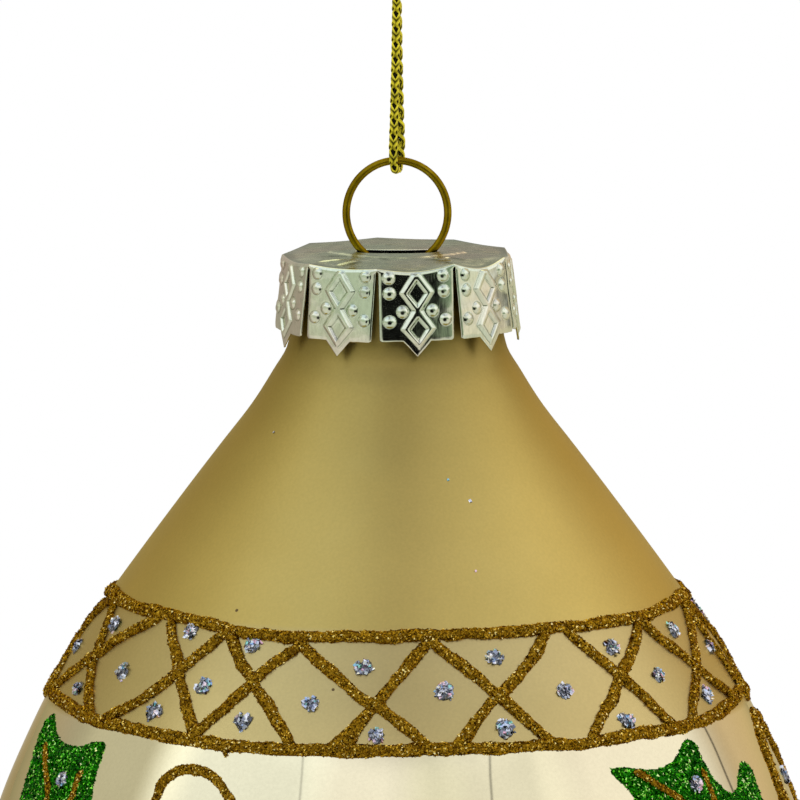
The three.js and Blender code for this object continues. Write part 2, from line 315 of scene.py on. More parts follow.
# ---------------------------------------------------------------- materials
def make_materials():
    M = {}

    # yarn of the cord: metallised thread, bright on top; painted shade darkens it where it dives under the other yarns
    m, nt, b = material("cord_yarn", (0.80, 0.66, 0.04), 0.2, 0.42)
    b.inputs["Specular IOR Level"].default_value = 0.12
    b.inputs["Specular Tint"].default_value = (0.9, 0.8, 0.2, 1)
    at = add(nt, "ShaderNodeAttribute", attribute_name="lift")
    fil = add(nt, "ShaderNodeAttribute", attribute_name="filament")
    # painted shade: the lift attribute darkens the yarn the nearer it lies to the cord's middle
    base = ramp(nt, at.outputs["Fac"], [
        (0.0, (0.010, 0.008, 0.0005)), (0.34, (0.09, 0.075, 0.003)), (0.58, (0.45, 0.385, 0.014)),
        (1.0, (0.90, 0.78, 0.05))])
    # painted shade: the grooves between the yarn's strands are darkened almost to black
    groove_darkening = ramp1(nt, fil.outputs["Fac"], [(0.0, 0.0), (0.30, 0.07), (0.60, 0.80), (1.0, 1.25)])
    patch = ramp1(nt, noise(nt, coords(nt), 700, 2), [(0.32, 0.72), (0.6, 1.1)])
    col = mix_color(nt, 1.0, base, groove_darkening, "MULTIPLY")
    col = mix_color(nt, 1.0, col, patch, "MULTIPLY")
    nt.links.new(col, b.inputs["Base Color"])
    nt.links.new(ramp1(nt, noise(nt, coords(nt), 5200, 2), [(0.3, 0.30), (0.7, 0.48)]), b.inputs["Roughness"])
    nt.links.new(bump(nt, noise(nt, coords(nt), 9000, 2), 0.00002, 0.25), b.inputs["Normal"])
    M["yarn"] = m
    # painted shade: a near black core thread down the cord's middle stands in for the shade inside the knit, seen
    # through the stitches' holes
    m, nt, b = material("cord_core", (0.02, 0.017, 0.003), 0.0, 0.9)
    nt.links.new(ramp(nt, noise(nt, coords(nt), 3000), [(0.3, (0.008, 0.007, 0.002)), (0.7, (0.04, 0.034, 0.006))]),
                 b.inputs["Base Color"])
    M["core"] = m

    # antique brass wire, drawn: fine lines along it, darker where it has tarnished
    m, nt, b = material("wire_brass", (0.30, 0.20, 0.006), 1.0, 0.34)
    b.inputs["Specular Tint"].default_value = (0.62, 0.48, 0.10, 1)
    tarnish = noise(nt, coords(nt), 420, 4, 0.6)
    nt.links.new(ramp(nt, tarnish, [(0.30, (0.15, 0.098, 0.002)), (0.55, (0.28, 0.19, 0.006)), (0.75, (0.42, 0.30, 0.020))]),
                 b.inputs["Base Color"])
    nt.links.new(ramp1(nt, noise(nt, coords(nt), 1500, 3), [(0.3, 0.28), (0.7, 0.46)]), b.inputs["Roughness"])
    draw = noise(nt, coords(nt, (1, 1, 0.12)), 9000, 2)
    nt.links.new(bump(nt, draw, 0.00001, 0.6), b.inputs["Normal"])
    M["wire"] = m

    # tinned sheet: pearly, faintly green and pink, with rolling marks
    m, nt, b = material("cap_tin", (0.80, 0.83, 0.68), 1.0, 0.17)
    hue = noise(nt, coords(nt), 120, 2)
    tint = ramp(nt, hue, [(0.34, (0.86, 0.78, 0.68)), (0.5, (0.84, 0.85, 0.70)), (0.66, (0.74, 0.84, 0.68))])
    stain = ramp1(nt, noise(nt, coords(nt), 520, 5, 0.65), [(0.30, 0.80), (0.5, 1.0)])
    fine = ramp1(nt, noise(nt, coords(nt, (1, 1, 0.3)), 3600, 3, 0.6), [(0.32, 0.88), (0.6, 1.0)])
    tint = mix_color(nt, 1.0, tint, fine, "MULTIPLY")
    # painted shade and painted highlight: the crease attribute darkens the tin at the foot of each slope and along the
    # plate's painted dark lines, and lightens it a little on the ridges
    crease = add(nt, "ShaderNodeAttribute", attribute_name="crease")
    lines = ramp(nt, crease.outputs["Fac"], [(0.0, (1.04, 1.04, 1.04)), (0.45, (1.0, 1.0, 1.0)), (0.55, (1.0, 1.0, 1.0)), (0.95, (0.34, 0.38, 0.30))])
    tint = mix_color(nt, 1.0, tint, lines, "MULTIPLY")
    nt.links.new(mix_color(nt, 1.0, tint, stain, "MULTIPLY"), b.inputs["Base Color"])
    sheen = ramp1(nt, noise(nt, coords(nt), 900, 4, 0.6), [(0.3, 0.08), (0.7, 0.17)])
    flat = nt.nodes.new("ShaderNodeSeparateXYZ")
    nt.links.new(coords(nt), flat.inputs[0])
    out = math_node(nt, "SQRT", math_node(nt, "ADD", math_node(nt, "MULTIPLY", flat.outputs["X"], flat.outputs["X"]),
                                          math_node(nt, "MULTIPLY", flat.outputs["Y"], flat.outputs["Y"])), 0.0)
    dull = add(nt, "ShaderNodeMapRange")
    dull.inputs["From Min"].default_value = 0.0116
    dull.inputs["From Max"].default_value = 0.0106
    nt.links.new(out, dull.inputs["Value"])
    nt.links.new(math_node(nt, "ADD", sheen, math_node(nt, "MULTIPLY", dull.outputs["Result"], 0.14)), b.inputs["Roughness"])
    rolled = noise(nt, coords(nt, (1, 1, 0.06)), 7000, 2)
    nt.links.new(bump(nt, rolled, 0.000012, 0.5), b.inputs["Normal"])
    M["tin"] = m

    # the glass: satin gold lacquer, a satin field between the lattices' rings, glossy champagne round the belly
    m, nt, b = material("glass_lacquer", (0.62, 0.47, 0.16), 1.0, 0.36)
    sep = nt.nodes.new("ShaderNodeSeparateXYZ")
    nt.links.new(coords(nt), sep.inputs[0])
    depth = add(nt, "ShaderNodeMapRange")
    depth.inputs["From Min"].default_value = -0.070
    depth.inputs["From Max"].default_value = -0.070 - 0.1666
    nt.links.new(sep.outputs["Z"], depth.inputs["Value"])
    d = depth.outputs["Result"]
    q = lambda mm: mm / 166.6
    satin, satin2, field, champ = (0.54, 0.41, 0.12), (0.63, 0.48, 0.145), (0.61, 0.49, 0.21), (0.85, 0.79, 0.56)
    cap_shade = lambda k: tuple(k * v for v in satin)         # painted shade of the cap: the satin is darker just below it
    # the first stops of this ramp paint the cap's shade onto the satin
    base = ramp(nt, d, [
        (0.0, cap_shade(0.55)), (q(9.5), cap_shade(0.63)), (q(12.5), cap_shade(0.87)), (q(17), cap_shade(1.0)), (q(30), satin2), (q(35.6), satin2),
        (q(35.9), field), (q(46.25), field),
        (q(46.5), champ), (q(112.1), champ), (q(112.4), field), (q(120.5), field), (q(120.9), satin2), (1.0, satin)])
    mottle = noise(nt, coords(nt), 46, 3, 0.5)
    mott = ramp1(nt, mottle, [(0.3, 0.94), (0.7, 1.05)])
    base = mix_color(nt, 1.0, base, mott, "MULTIPLY")
    grain = ramp1(nt, noise(nt, coords(nt), 3200, 2), [(0.3, 0.965), (0.7, 1.03)])
    base = mix_color(nt, 1.0, base, grain, "MULTIPLY")
    specks = nt.nodes.new("ShaderNodeTexVoronoi")
    specks.inputs["Scale"].default_value = 190
    nt.links.new(coords(nt), specks.inputs["Vector"])
    near = math_node(nt, "LESS_THAN", specks.outputs["Distance"], 0.035)
    sepc = nt.nodes.new("ShaderNodeSeparateColor")
    nt.links.new(specks.outputs["Color"], sepc.inputs[0])
    few = math_node(nt, "MULTIPLY", near, math_node(nt, "GREATER_THAN", sepc.outputs[0], 0.72))
    base = mix_color(nt, few, base, (0.16, 0.11, 0.05))
    nt.links.new(base, b.inputs["Base Color"])
    rough = ramp1(nt, d, [
        (0.0, 0.40), (q(30), 0.40), (q(35.7), 0.38), (q(46.2), 0.34), (q(46.6), 0.04), (q(112.0), 0.04),
        (q(112.5), 0.34), (q(120.8), 0.38), (1.0, 0.40)])
    vary = ramp1(nt, noise(nt, coords(nt), 240, 3), [(0.3, 0.93), (0.7, 1.07)])
    nt.links.new(mix_color(nt, 1.0, rough, vary, "MULTIPLY"), b.inputs["Roughness"])
    satiny = ramp1(nt, d, [(0.0, 1.0), (q(46.1), 1.0), (q(46.7), 0.0), (q(112.0), 0.0), (q(112.6), 1.0), (1.0, 1.0)])
    frost = noise(nt, coords(nt), 2600, 3, 0.55)
    h = math_node(nt, "MULTIPLY", frost, satiny)
    ripple = noise(nt, coords(nt, (1, 1, 0.35)), 42, 2)
    n1 = bump(nt, ripple, 0.00025, 0.35)
    nt.links.new(bump(nt, h, 0.00002, 0.42, n1), b.inputs["Normal"])
    b.inputs["Specular Tint"].default_value = (0.86, 0.78, 0.52, 1)
    M["glass"] = m
    m, nt, b = material("glass_inside", (0.62, 0.62, 0.60), 1.0, 0.2)
    nt.links.new(ramp(nt, noise(nt, coords(nt), 150, 4), [(0.3, (0.42, 0.42, 0.40)), (0.7, (0.75, 0.75, 0.72))]),
                 b.inputs["Base Color"])
    M["inside"] = m

    # glitter set in glue: a lumpy bed and the flakes on it. Each cell of the bed and each flake gets a colour at random
    # from dark to bright: painted glints and painted shade among the flakes, over the glitter's own colour.
    def bed(name, dark, light, cell, rough, metal=0.75, amount=1.3, edge=(1, 1, 1)):
        m, nt, b = material(name, light, metal, rough)
        b.inputs["Specular Tint"].default_value = (*edge, 1)
        normal, color, _ = facet_normal(nt, cell, amount)
        sep = nt.nodes.new("ShaderNodeSeparateColor")
        nt.links.new(color, sep.inputs[0])
        nt.links.new(ramp(nt, sep.outputs[0], [(0.1, dark), (0.6, tuple(0.5 * (a + c) for a, c in zip(dark, light))), (0.97, light)]),
                     b.inputs["Base Color"])
        nt.links.new(normal, b.inputs["Normal"])
        nt.links.new(ramp1(nt, sep.outputs[1], [(0.0, rough - 0.12), (1.0, rough + 0.15)]), b.inputs["Roughness"])
        return m

    def flake(name, stops, rough=0.16, metal=1.0, mode="LINEAR", edge=(1, 1, 1)):
        m, nt, b = material(name, stops[-1][1], metal, rough)
        b.inputs["Specular Tint"].default_value = (*edge, 1)
        g = nt.nodes.new("ShaderNodeNewGeometry")
        nt.links.new(ramp(nt, g.outputs["Random Per Island"], stops, mode), b.inputs["Base Color"])
        nt.links.new(ramp1(nt, noise(nt, coords(nt), 4000, 1), [(0.3, rough * 0.7), (0.7, rough * 1.5)]), b.inputs["Roughness"])
        return m

    # gold: the brightest stops are painted glints and the darkest painted shade
    M["gold_bed"] = bed("gold_glue", (0.085, 0.036, 0.002), (0.52, 0.29, 0.016), 0.00018, 0.34, 0.85, 1.5, (0.6, 0.38, 0.06))
    M["gold_flake"] = flake("gold_flake", [(0.0, (0.19, 0.092, 0.003)), (0.50, (0.37, 0.205, 0.010)),
                                           (0.80, (0.62, 0.38, 0.034)), (0.92, (1.0, 0.74, 0.18)), (1.0, (1.0, 0.87, 0.42))],
                            0.15, edge=(0.75, 0.52, 0.12))
    M["silver_bed"] = bed("silver_glue", (0.10, 0.11, 0.15), (0.46, 0.49, 0.58), 0.00022, 0.3)
    M["silver_flake"] = flake("silver_flake", [
        (0.0, (0.16, 0.18, 0.26)), (0.25, (0.40, 0.44, 0.56)), (0.5, (0.72, 0.76, 0.86)), (0.64, (0.95, 0.95, 1.0)),
        (0.74, (0.75, 0.42, 0.56)), (0.82, (0.30, 0.72, 0.62)), (0.9, (0.35, 0.50, 0.85)), (1.0, (0.8, 0.85, 0.95))], 0.12)
    # green: the darkest stops are painted shadow between the flakes, the yellow-white ones painted glints
    M["green_bed"] = bed("green_glue", (0.001, 0.030, 0.001), (0.018, 0.30, 0.005), 0.00019, 0.28, 0.6, 1.6, (0.12, 0.5, 0.05))
    M["green_flake"] = flake("green_flake", [(0.0, (0.0005, 0.012, 0.0005)), (0.35, (0.005, 0.10, 0.001)),
                                             (0.62, (0.030, 0.34, 0.006)), (0.80, (0.16, 0.74, 0.04)), (0.93, (0.50, 1.0, 0.22)), (1.0, (0.95, 1.0, 0.55))],
                             0.14, edge=(0.16, 0.6, 0.08))
    return M


M = make_materials()

# --------------------------------------------------------------------- cord
YARN_R, PERIOD = 0.45, 1.6


def up(points):
    return [[x, y, h + PLATE] for x, y, h in points]


def knitted(path, normal, seed, phase=0.0, scale=1.0):
    """Four yarns knitted round a path in mm: two columns of stitches, a hole down the middle of each."""
    rng = np.random.default_rng(seed)
    step = 0.105
    centre, length = catmull(path, step)
    t, n, c = frames(centre, normal)
    s = np.linspace(0, length, len(centre))
    tt = np.linspace(0, 1, 201)
    knots = [0, 0.12, 0.30, 0.56, 0.70, 0.80, 0.90, 1.0]
    swing = np.interp(tt, knots, [1.52, 1.38, 1.02, 0.42, 0.20, 0.42, 1.05, 1.52])
    reach = np.interp(tt, knots, [0.255, 0.305, 0.335, 0.325, 0.24, 0.13, 0.155, 0.255])
    k = np.hanning(19) / np.hanning(19).sum()
    ring = lambda a: np.convolve(np.concatenate([a[:-1]] * 3), k, "same")[200:401]
    swing, reach = ring(swing), ring(reach)
    sides = 12
    a = np.arange(sides) / sides * 2 * math.pi
    parts, lift, fil = [], [], []
    for face in (0.0, math.pi):
        for side in (-1, 1):
            u = (s / PERIOD + phase + (0.06 if side > 0 else 0) + (0.5 if face else 0)) % 1.0
            drift = 0.05 * line_noise(s, 2.3, rng)
            ang = face + side * (np.interp(u, tt, swing) + drift)
            rad = np.interp(u, tt, reach) * scale
            p = centre + (np.cos(ang) * rad)[:, None] * n + (np.sin(ang) * rad)[:, None] * c
            out = unit(p - centre)
            yt = unit(np.gradient(p, axis=0))
            wide = unit(np.cross(yt, out))
            high = np.cross(wide, yt)
            twist = -side * s / PERIOD * 2 * math.pi
            hw = 0.235 * (1 + 0.08 * line_noise(s, 0.9, rng))[:, None] * scale
            hh = 0.135 * scale
            groove = 0.18 * np.cos(2 * a[None, :] + twist[:, None])
            ca, sa = np.cos(a)[None, :] * (1 + groove) * hw, np.sin(a)[None, :] * (1 + groove) * hh
            pts = p[:, None, :] + ca[..., None] * wide[:, None, :] + sa[..., None] * high[:, None, :]
            quads, tris = tube_faces(len(p), sides)
            parts.append((pts.reshape(-1, 3), [(quads, 0, True), (tris, 0, True)]))
            r = np.linalg.norm(pts - centre[:, None, :], axis=2)
            # painted shade: lift is low where the yarn dives towards the cord's middle, and the material darkens it
            # there
            lift.append(np.clip((r - 0.10) / 0.34, 0, 1).ravel())
            # painted shade: 1 on the yarn's crest and low in its grooves, where the material darkens it
            crest = 0.35 * np.clip(np.sin(a), 0, 1)[None, :] ** 2
            fil.append((1 - (0.5 - 0.5 * groove / 0.18) * (1 - crest)).ravel())
    # the near black core: painted shade seen through the holes between the stitches
    sides = 6
    a = np.arange(sides) / sides * 2 * math.pi
    thin = centre[::3]
    pts = thin[:, None, :] + 0.12 * (np.cos(a)[None, :, None] * n[::3, None, :] + np.sin(a)[None, :, None] * c[::3, None, :])
    quads, tris = tube_faces(len(thin), sides)
    parts.append((pts.reshape(-1, 3), [(quads, 1, True), (tris, 1, True)]))
    lift.append(np.zeros(len(thin) * sides))
    fil.append(np.zeros(len(thin) * sides))
    return parts, np.concatenate(lift), np.concatenate(fil), centre, length


def with_attributes(o, **values):
    for k, v in values.items():
        a = o.data.attributes.new(k, "FLOAT", "POINT")
        a.data.foreach_set("value", np.asarray(v, np.float32))


front = [[-0.05, -0.5, 28.8], [-0.1, -0.62, 24], [-0.2, -0.95, 18.5], [-0.32, -1.42, 14], [-0.4, -1.74, 11.8]]
turn = [[-0.4 * math.cos(a * DEG), -1.8 * math.cos(a * DEG), 10.5 - 1.8 * math.sin(a * DEG)] for a in range(0, 181, 20)]
back = [[-x, -y, z] for x, y, z in reversed(front)]
left = [[-0.55, 0, 34.3], [-0.85, 0, 40], [-1.5, 0, 48], [-2.3, 0, 57], [-2.85, 0, 63.5]]
arc = [[3.0 * math.cos(a * DEG), 0, 67.45 + 3.0 * math.sin(a * DEG)] for a in np.arange(0, 180.1, 22.5)]
right = [[-x, y, z] for x, y, z in left]
route = ([[-0.02, -0.46, 31.2], [-0.04, -0.48, 30.0]] + front + turn + back
         + [[0.22, 0.42, 30.6], [0.42, 0.18, 32.4]] + right + arc + left[::-1] + [[-0.42, -0.02, 32.6], [-0.30, 0.02, 31.8]])
parts, lift, fil, cord_line, cord_length = knitted(up(route), (0, -1, 0), 11, phase=0.3)
cord = build("braided_cord", parts, [M["yarn"], M["core"]])
with_attributes(cord, lift=lift, filament=fil)
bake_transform(cord)
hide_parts("cord_hanging_loop", "cord_ring_loop")

# the knot: both strands are gripped by turns of the cord's own ends, which leave as two short tails
turns = []
for i in range(0, 34):
    a = 0.30 * math.pi + i / 33 * 2.75 * 2 * math.pi
    turns.append([1.24 * math.sin(a), -1.10 * math.cos(a), 33.15 - i / 33 * 3.05])
knot_route = ([[5.9, -1.2, 35.9], [4.6, -1.1, 34.7], [3.1, -1.0, 33.8], [2.0, -0.95, 33.4]] + turns)
end = turns[-1]
knot_route += [[end[0] * 1.25, end[1] * 1.5, 30.15], [-1.35, -1.55, 30.9], [-1.5, -1.75, 31.9], [-1.75, -1.2, 33.0],
               [-2.6, 0.0, 34.0], [-3.9, 1.2, 35.2], [-4.9, 1.9, 36.8]]
parts, lift, fil, knot_line, knot_length = knitted(up(knot_route), (0, 0, 1), 12, phase=0.1)
knot = build("cord_knot_wraps", parts, [M["yarn"], M["core"]])
with_attributes(knot, lift=lift, filament=fil)
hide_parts("cord_knot")
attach(knot, "hanging_cord")
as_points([tuple(float(v) * MM for v in p) for p in cord_line[::4]] + [tuple(float(v) * MM for v in cord_line[-1])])
print("cord length mm", round(cord_length, 1), "knot length mm", round(knot_length, 1))

# --------------------------------------------------------------- wire hanger
LEG = [[2.55, -1.15], [2.25, -2.6], [2.45, -4.8], [3.7, -8.2], [5.6, -11.9], [7.5, -15.2], [8.75, -17.8], [9.1, -19.4]]


def make_wire():
    a0 = math.asin(-4.2 / 5.5)
    ring = [[5.28 * math.cos(a), 0, 4.2 + 5.5 * math.sin(a)]
            for a in np.linspace(a0, math.pi - a0, 33)]
    pts = [[x, 0, z] for x, z in reversed(LEG)] + ring + [[-x, 0, z] for x, z in LEG]
    centre, length = catmull(up(pts), 0.22)
    t, n, c = frames(centre, (0, 1, 0))
    rng = np.random.default_rng(5)
    s = np.linspace(0, length, len(centre))
    sides = 20
    a = np.arange(sides) / sides * 2 * math.pi
    r = 0.4 * (1 + 0.012 * line_noise(s, 3.0, rng))
    taper = np.minimum(1, np.sqrt(np.clip(np.minimum(s, length - s) / 0.25 + 0.2, 0, 1)))
    r = (r * taper)[:, None, None]
    pts = centre[:, None, :] + r * (np.cos(a)[None, :, None] * n[:, None, :] + np.sin(a)[None, :, None] * c[:, None, :])
    quads, tris = tube_faces(len(centre), sides)
    return build("wire_spring_hanger", [(pts.reshape(-1, 3), [(quads, 0, True), (tris, 0, True)])], [M["wire"]])


wire = make_wire()
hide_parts("wire_hanger")
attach(wire, "hanger")

# ----------------------------------------------------------------- crown cap
CAP_R, PETALS, FIRST = 12.0, 9, 10.0
# per petal, from the one that faces the front: rim height at its left corner, dip of its top edge, flare, hem, tilt
MEET = [-0.17, 0.18, 0.07, -0.04, -0.05, -0.03, -0.06, -0.20, -0.20]
DIP = [0.50, 0.72, 0.30, 0.14, 0.10, 0.12, 0.14, 0.24, 0.20]
FLARE = [0.70, 1.05, 0.95, 0.78, 0.70, 0.74, 0.68, 0.78, 0.70]
HEM = [7.63, 7.56, 7.50, 7.55, 7.62, 7.58, 7.55, 7.72, 7.78]
TILT = [0.030, -0.010, 0.012, -0.018, 0.014, -0.008, 0.016, -0.012, 0.0]
SLIT = [0.72, 0.56, 0.60, 0.64, 0.66, 0.60, 0.58, 0.72, 0.92]
FOLDS = [(-4.6, -5.2, -2.4, -6.9, 0.09), (-2.0, -5.4, -1.2, -7.4, 0.06), (3.6, -4.6, 5.6, -6.0, 0.09), (4.4, -3.9, 6.4, -4.4, 0.06),
         (-6.0, 2.4, -3.2, 5.6, 0.05), (2.8, 5.0, 6.2, 3.4, 0.05), (-7.6, -1.4, -6.2, -3.6, 0.05)]
# sharp folds of the plate: both ends, height and half width
RIDGES = [(-8.9, -6.6, -5.2, -5.0, 0.13, 0.24), (-6.5, -8.6, -3.9, -6.2, 0.16, 0.26), (3.4, -5.4, 6.2, -3.4, 0.12, 0.24),
          (4.5, -6.9, 6.0, -8.3, 0.08, 0.24), (-2.0, 6.4, 1.2, 7.2, 0.06, 0.26)]
# painted shade and painted reflection: dark lines painted on the plate in front of the folds; they are colour only
PLATE_SHADE_LINES = [(-5.3, -8.7, -3.9, -7.0), (4.2, -6.3, 5.9, -8.3), (3.0, -5.9, 4.9, -5.0), (5.3, -3.5, 6.8, -5.2), (-7.6, -3.2, -5.4, -2.6),
           (-1.7, -4.6, -0.9, -5.6)]


def diamond(x, y, cx, cy, a, up_, down):
    """Signed distance in mm, positive inside."""
    b = np.where(y < cy, up_, down)
    return (1 - np.abs(x - cx) / a - np.abs(y - cy) / b) / np.sqrt(1 / a ** 2 + 1 / b ** 2)


def emboss(x, y):
    """The stamped relief of a petal: two linked lozenge frames and two rows of beads."""
    outer = np.maximum(diamond(x, y, 0, 2.55, 1.92, 2.60, 2.70), diamond(x, y, 0, 6.30, 1.90, 2.80, 2.20))
    well = np.maximum(diamond(x, y, 0, 2.65, 0.88, 1.17, 1.13), diamond(x, y, 0, 6.35, 0.84, 1.02, 1.15))
    h = 0.27 * np.clip(outer / 0.34, 0, 1) * (1 - np.clip(1 + well / 0.22, 0, 1))
    for dx, dy in ((2.98, 0.96), (2.95, 2.55), (1.60, 4.50), (2.98, 5.50)):
        for side in (-1, 1):
            d2 = ((x - side * dx) ** 2 + (y - dy) ** 2) / 0.64 ** 2
            h = np.maximum(h, 0.28 * np.clip(1 - np.clip(d2, 0, 1) ** 1.45, 0, 1))
    return h


def creases(x, y):
    """0 along a ridge of the relief, 0.5 on the flat, 1 along the foot of a slope. It places the tin's painted
    highlight on the ridges and its painted shade at the foot of the slopes.
    """
    e = 0.075
    bend = emboss(x + e, y) + emboss(x - e, y) + emboss(x, y + e) + emboss(x, y - e) - 4 * emboss(x, y)
    return 0.5 + 0.5 * np.clip(bend / (0.75 * e), -1, 1)


def slot_edge(th):
    s, c = np.abs(np.sin(th)), np.abs(np.cos(th))
    flat = 1.4 / np.maximum(c, 1e-6)
    inside = (flat * s) <= 2.9
    root = np.sqrt(np.clip(2.9 ** 2 * s ** 2 - (2.9 ** 2 - 1.4 ** 2), 0, None))
    return np.where(inside, flat, 2.9 * s + root)


def plate_z(x, y, r, r0):
    """The hand-bent top of the cap: a raised lens round the slot, and shallow creases."""
    lens = step_up(4.6 * (1 - (x / 7.4) ** 2) - np.abs(y), -0.1, 0.7)
    z = 0.15 * lens + 0.05 * np.exp(-((r - r0) / 0.4) ** 2) - 0.05 * np.exp(-(r - r0) / 0.10)
    fade = step_up(r, 2.2, 4.2) * (1 - 0.75 * step_up(r, 10.4, 11.5))
    z = z + fade * 0.050 * (1 - 2 * np.abs(lattice_noise(x + 30, y * 1.4 + 30, 3, 3.1)))
    z = z + fade * 0.022 * (1 - 2 * np.abs(lattice_noise(x * 0.8 + 20, y * 1.9 + 50, 8, 1.3)))
    for x0, y0, x1, y1, a in FOLDS:
        ex, ey = x1 - x0, y1 - y0
        s = np.clip(((x - x0) * ex + (y - y0) * ey) / (ex * ex + ey * ey), 0, 1)
        d = np.hypot(x - x0 - s * ex, y - y0 - s * ey)
        z = z + a * np.exp(-d / 0.26)
    for x0, y0, x1, y1, a, w in RIDGES:
        s, d = along(x, y, x0, y0, x1, y1)
        z = z + a * np.clip(1 - d / w, 0, 1) * np.clip(4 * s, 0.15, 1) * np.clip(4 * (1 - s), 0.15, 1)
    return z


def along(x, y, x0, y0, x1, y1):
    """How far along a line a point lies, 0 to 1, and its distance from it."""
    ex, ey = x1 - x0, y1 - y0
    s = np.clip(((x - x0) * ex + (y - y0) * ey) / (ex * ex + ey * ey), 0, 1)
    return s, np.hypot(x - x0 - s * ex, y - y0 - s * ey)


def painted_plate_shade(x, y):
    """1 along the dark lines painted in front of the plate's folds, 0 away from them: painted shade and painted
    reflection.
    """
    m = 0 * x
    for x0, y0, x1, y1 in PLATE_SHADE_LINES:
        s, d = along(x, 0.5 * y, x0, 0.5 * y0, x1, 0.5 * y1)
        m = np.maximum(m, np.exp(-(d / 0.30) ** 2) * np.sin(np.pi * np.clip(s, 0.2, 0.8)))
    return m


def make_cap():
    plate_rows, bend_rows, petal_rows = 84, 6, 84
    rng = np.random.default_rng(21)
    grids, marks = [], []
    for k in range(PETALS):
        cols = 77 if k in (7, 8, 0, 1) else 61
        u = np.linspace(-1, 1, cols)
        mid = (FIRST + 40 * k) * DEG
        th = mid + u * 20 * DEG
        bow = 1 - u ** 2
        rho = 0.17 + 0.06 * bow
        radius = CAP_R - 0.38 * bow
        left_, right_ = MEET[k], MEET[(k + 1) % PETALS]
        rim_z = 0.08 + left_ + (right_ - left_) * (u + 1) / 2 - DIP[k] * bow ** 1.2
        rows, mark = [], []
        r0, r1 = slot_edge(th), radius - rho
        for i in range(plate_rows):
            t = (i / plate_rows) ** 0.9
            r = r0 + (r1 - r0) * t
            x, y = r * np.sin(th), -r * np.cos(th)
            z = plate_z(x, y, r, r0) * (1 - step_up(r, 10.2, 11.7)) + rim_z * step_up(r, 8.2, 11.7)
            rows.append(np.stack([x, y, z], 1))
            # painted shade and reflection of the plate's folds go into the crease marks
            mark.append(0.5 + 0.46 * painted_plate_shade(x, y))
        mark += [np.full(cols, 0.5)] * bend_rows
        for i in range(bend_rows):
            a = (i + 0.3) / bend_rows * 90 * DEG
            r = r1 + rho * math.sin(a)
            z = rim_z - rho + rho * math.cos(a)
            rows.append(np.stack([r * np.sin(th), -r * np.cos(th), z], 1))
        top_z = rows[-1][:, 2]
        au = np.abs(u)
        hem = -HEM[k] - 1.62 * np.clip(1 - au / 0.375, 0, 1) + 0.12 * step_up(au, 0.92, 1.0)
        hem = hem + 0.3 * TILT[k] * 4 * u + 0.02 * lattice_noise(u * 6 + 30, u * 0 + 7 * k + 3, 19, 0.7)
        for i in range(1, petal_rows + 1):
            z = top_z + (hem - top_z) * i / petal_rows
            depth = -z
            below = np.clip(depth + rim_z, 0, None)
            slit = 0.24 + (SLIT[k] - 0.24) * np.clip((below - 0.35) / 6.9, 0, 1.2)
            slit = slit * step_up(below, 0.22, 0.42)
            half = 20 * DEG - slit / 2 / CAP_R
            thi = mid + u * half
            full = FLARE[k] * np.clip(depth / 7.6, 0, 1.3)
            x, y = u * half * (CAP_R + 0.4), depth
            xr, yr = x - TILT[k] * (y - 3), y + TILT[k] * x
            h = emboss(xr, yr) * step_up(below, 0.10, 0.40)
            # painted shade and painted highlight of the relief, carried by the crease attribute
            mark.append(0.5 + (creases(xr, yr) - 0.5) * step_up(below, 0.10, 0.40))
            edge = (1 - au) * half * CAP_R
            curl = -0.13 * np.exp(-edge / 0.16) * step_up(below, 0.2, 0.6)
            curl = curl - 0.08 * np.exp(-(z - hem) / 0.15) * step_up(below, 4.0, 5.0)
            wave = 0.05 * lattice_noise(x + 9 * k + 40, y + 30, 17, 2.4) + 0.012 * lattice_noise(x + 9 * k + 40, y + 30, 18, 0.8)
            r = radius + full + h + curl + wave * step_up(below, 0.4, 1.6)
            rows.append(np.stack([r * np.sin(thi), -r * np.cos(thi), z], 1))
        grids.append(np.array(rows))
        marks.append(np.concatenate(mark))
    parts = []
    for g in grids:
        rows, cols = g.shape[:2]
        i = np.arange(rows - 1)[:, None] * cols
        j = np.arange(cols - 1)[None, :]
        quads = np.stack([i + j, i + j + 1, i + cols + j + 1, i + cols + j], -1).reshape(-1, 4)[:, ::-1]
        parts.append((g.reshape(-1, 3) + [0, 0, PLATE], [(quads, 0, True)]))
    o = build("crown_cap_stamped", parts, [M["tin"]])
    # the painted shade and highlight marks go onto the mesh as the crease attribute
    with_attributes(o, crease=np.concatenate(marks))
    import bmesh
    bm = bmesh.new()
    bm.from_mesh(o.data)
    bmesh.ops.remove_doubles(bm, verts=bm.verts, dist=2e-6)
    bm.normal_update()
    total = sum((f.normal.z for f in bm.faces if f.calc_center_median().z > -0.0702 and
                 f.calc_center_median().xy.length < 0.009))
    if total < 0:
        bmesh.ops.reverse_faces(bm, faces=bm.faces)
    bm.to_mesh(o.data)
    bm.free()
    mod = o.modifiers.new("sheet", "SOLIDIFY")
    mod.thickness, mod.offset, mod.use_even_offset = 0.20 * MM, -1, True
    mod.use_quality_normals = True
    dg = bpy.context.evaluated_depsgraph_get()
    me = bpy.data.meshes.new_from_object(o.evaluated_get(dg))
    o.modifiers.clear()
    o.data = me
    return o


cap = make_cap()
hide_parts("crown_cap")
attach(cap, "cap")

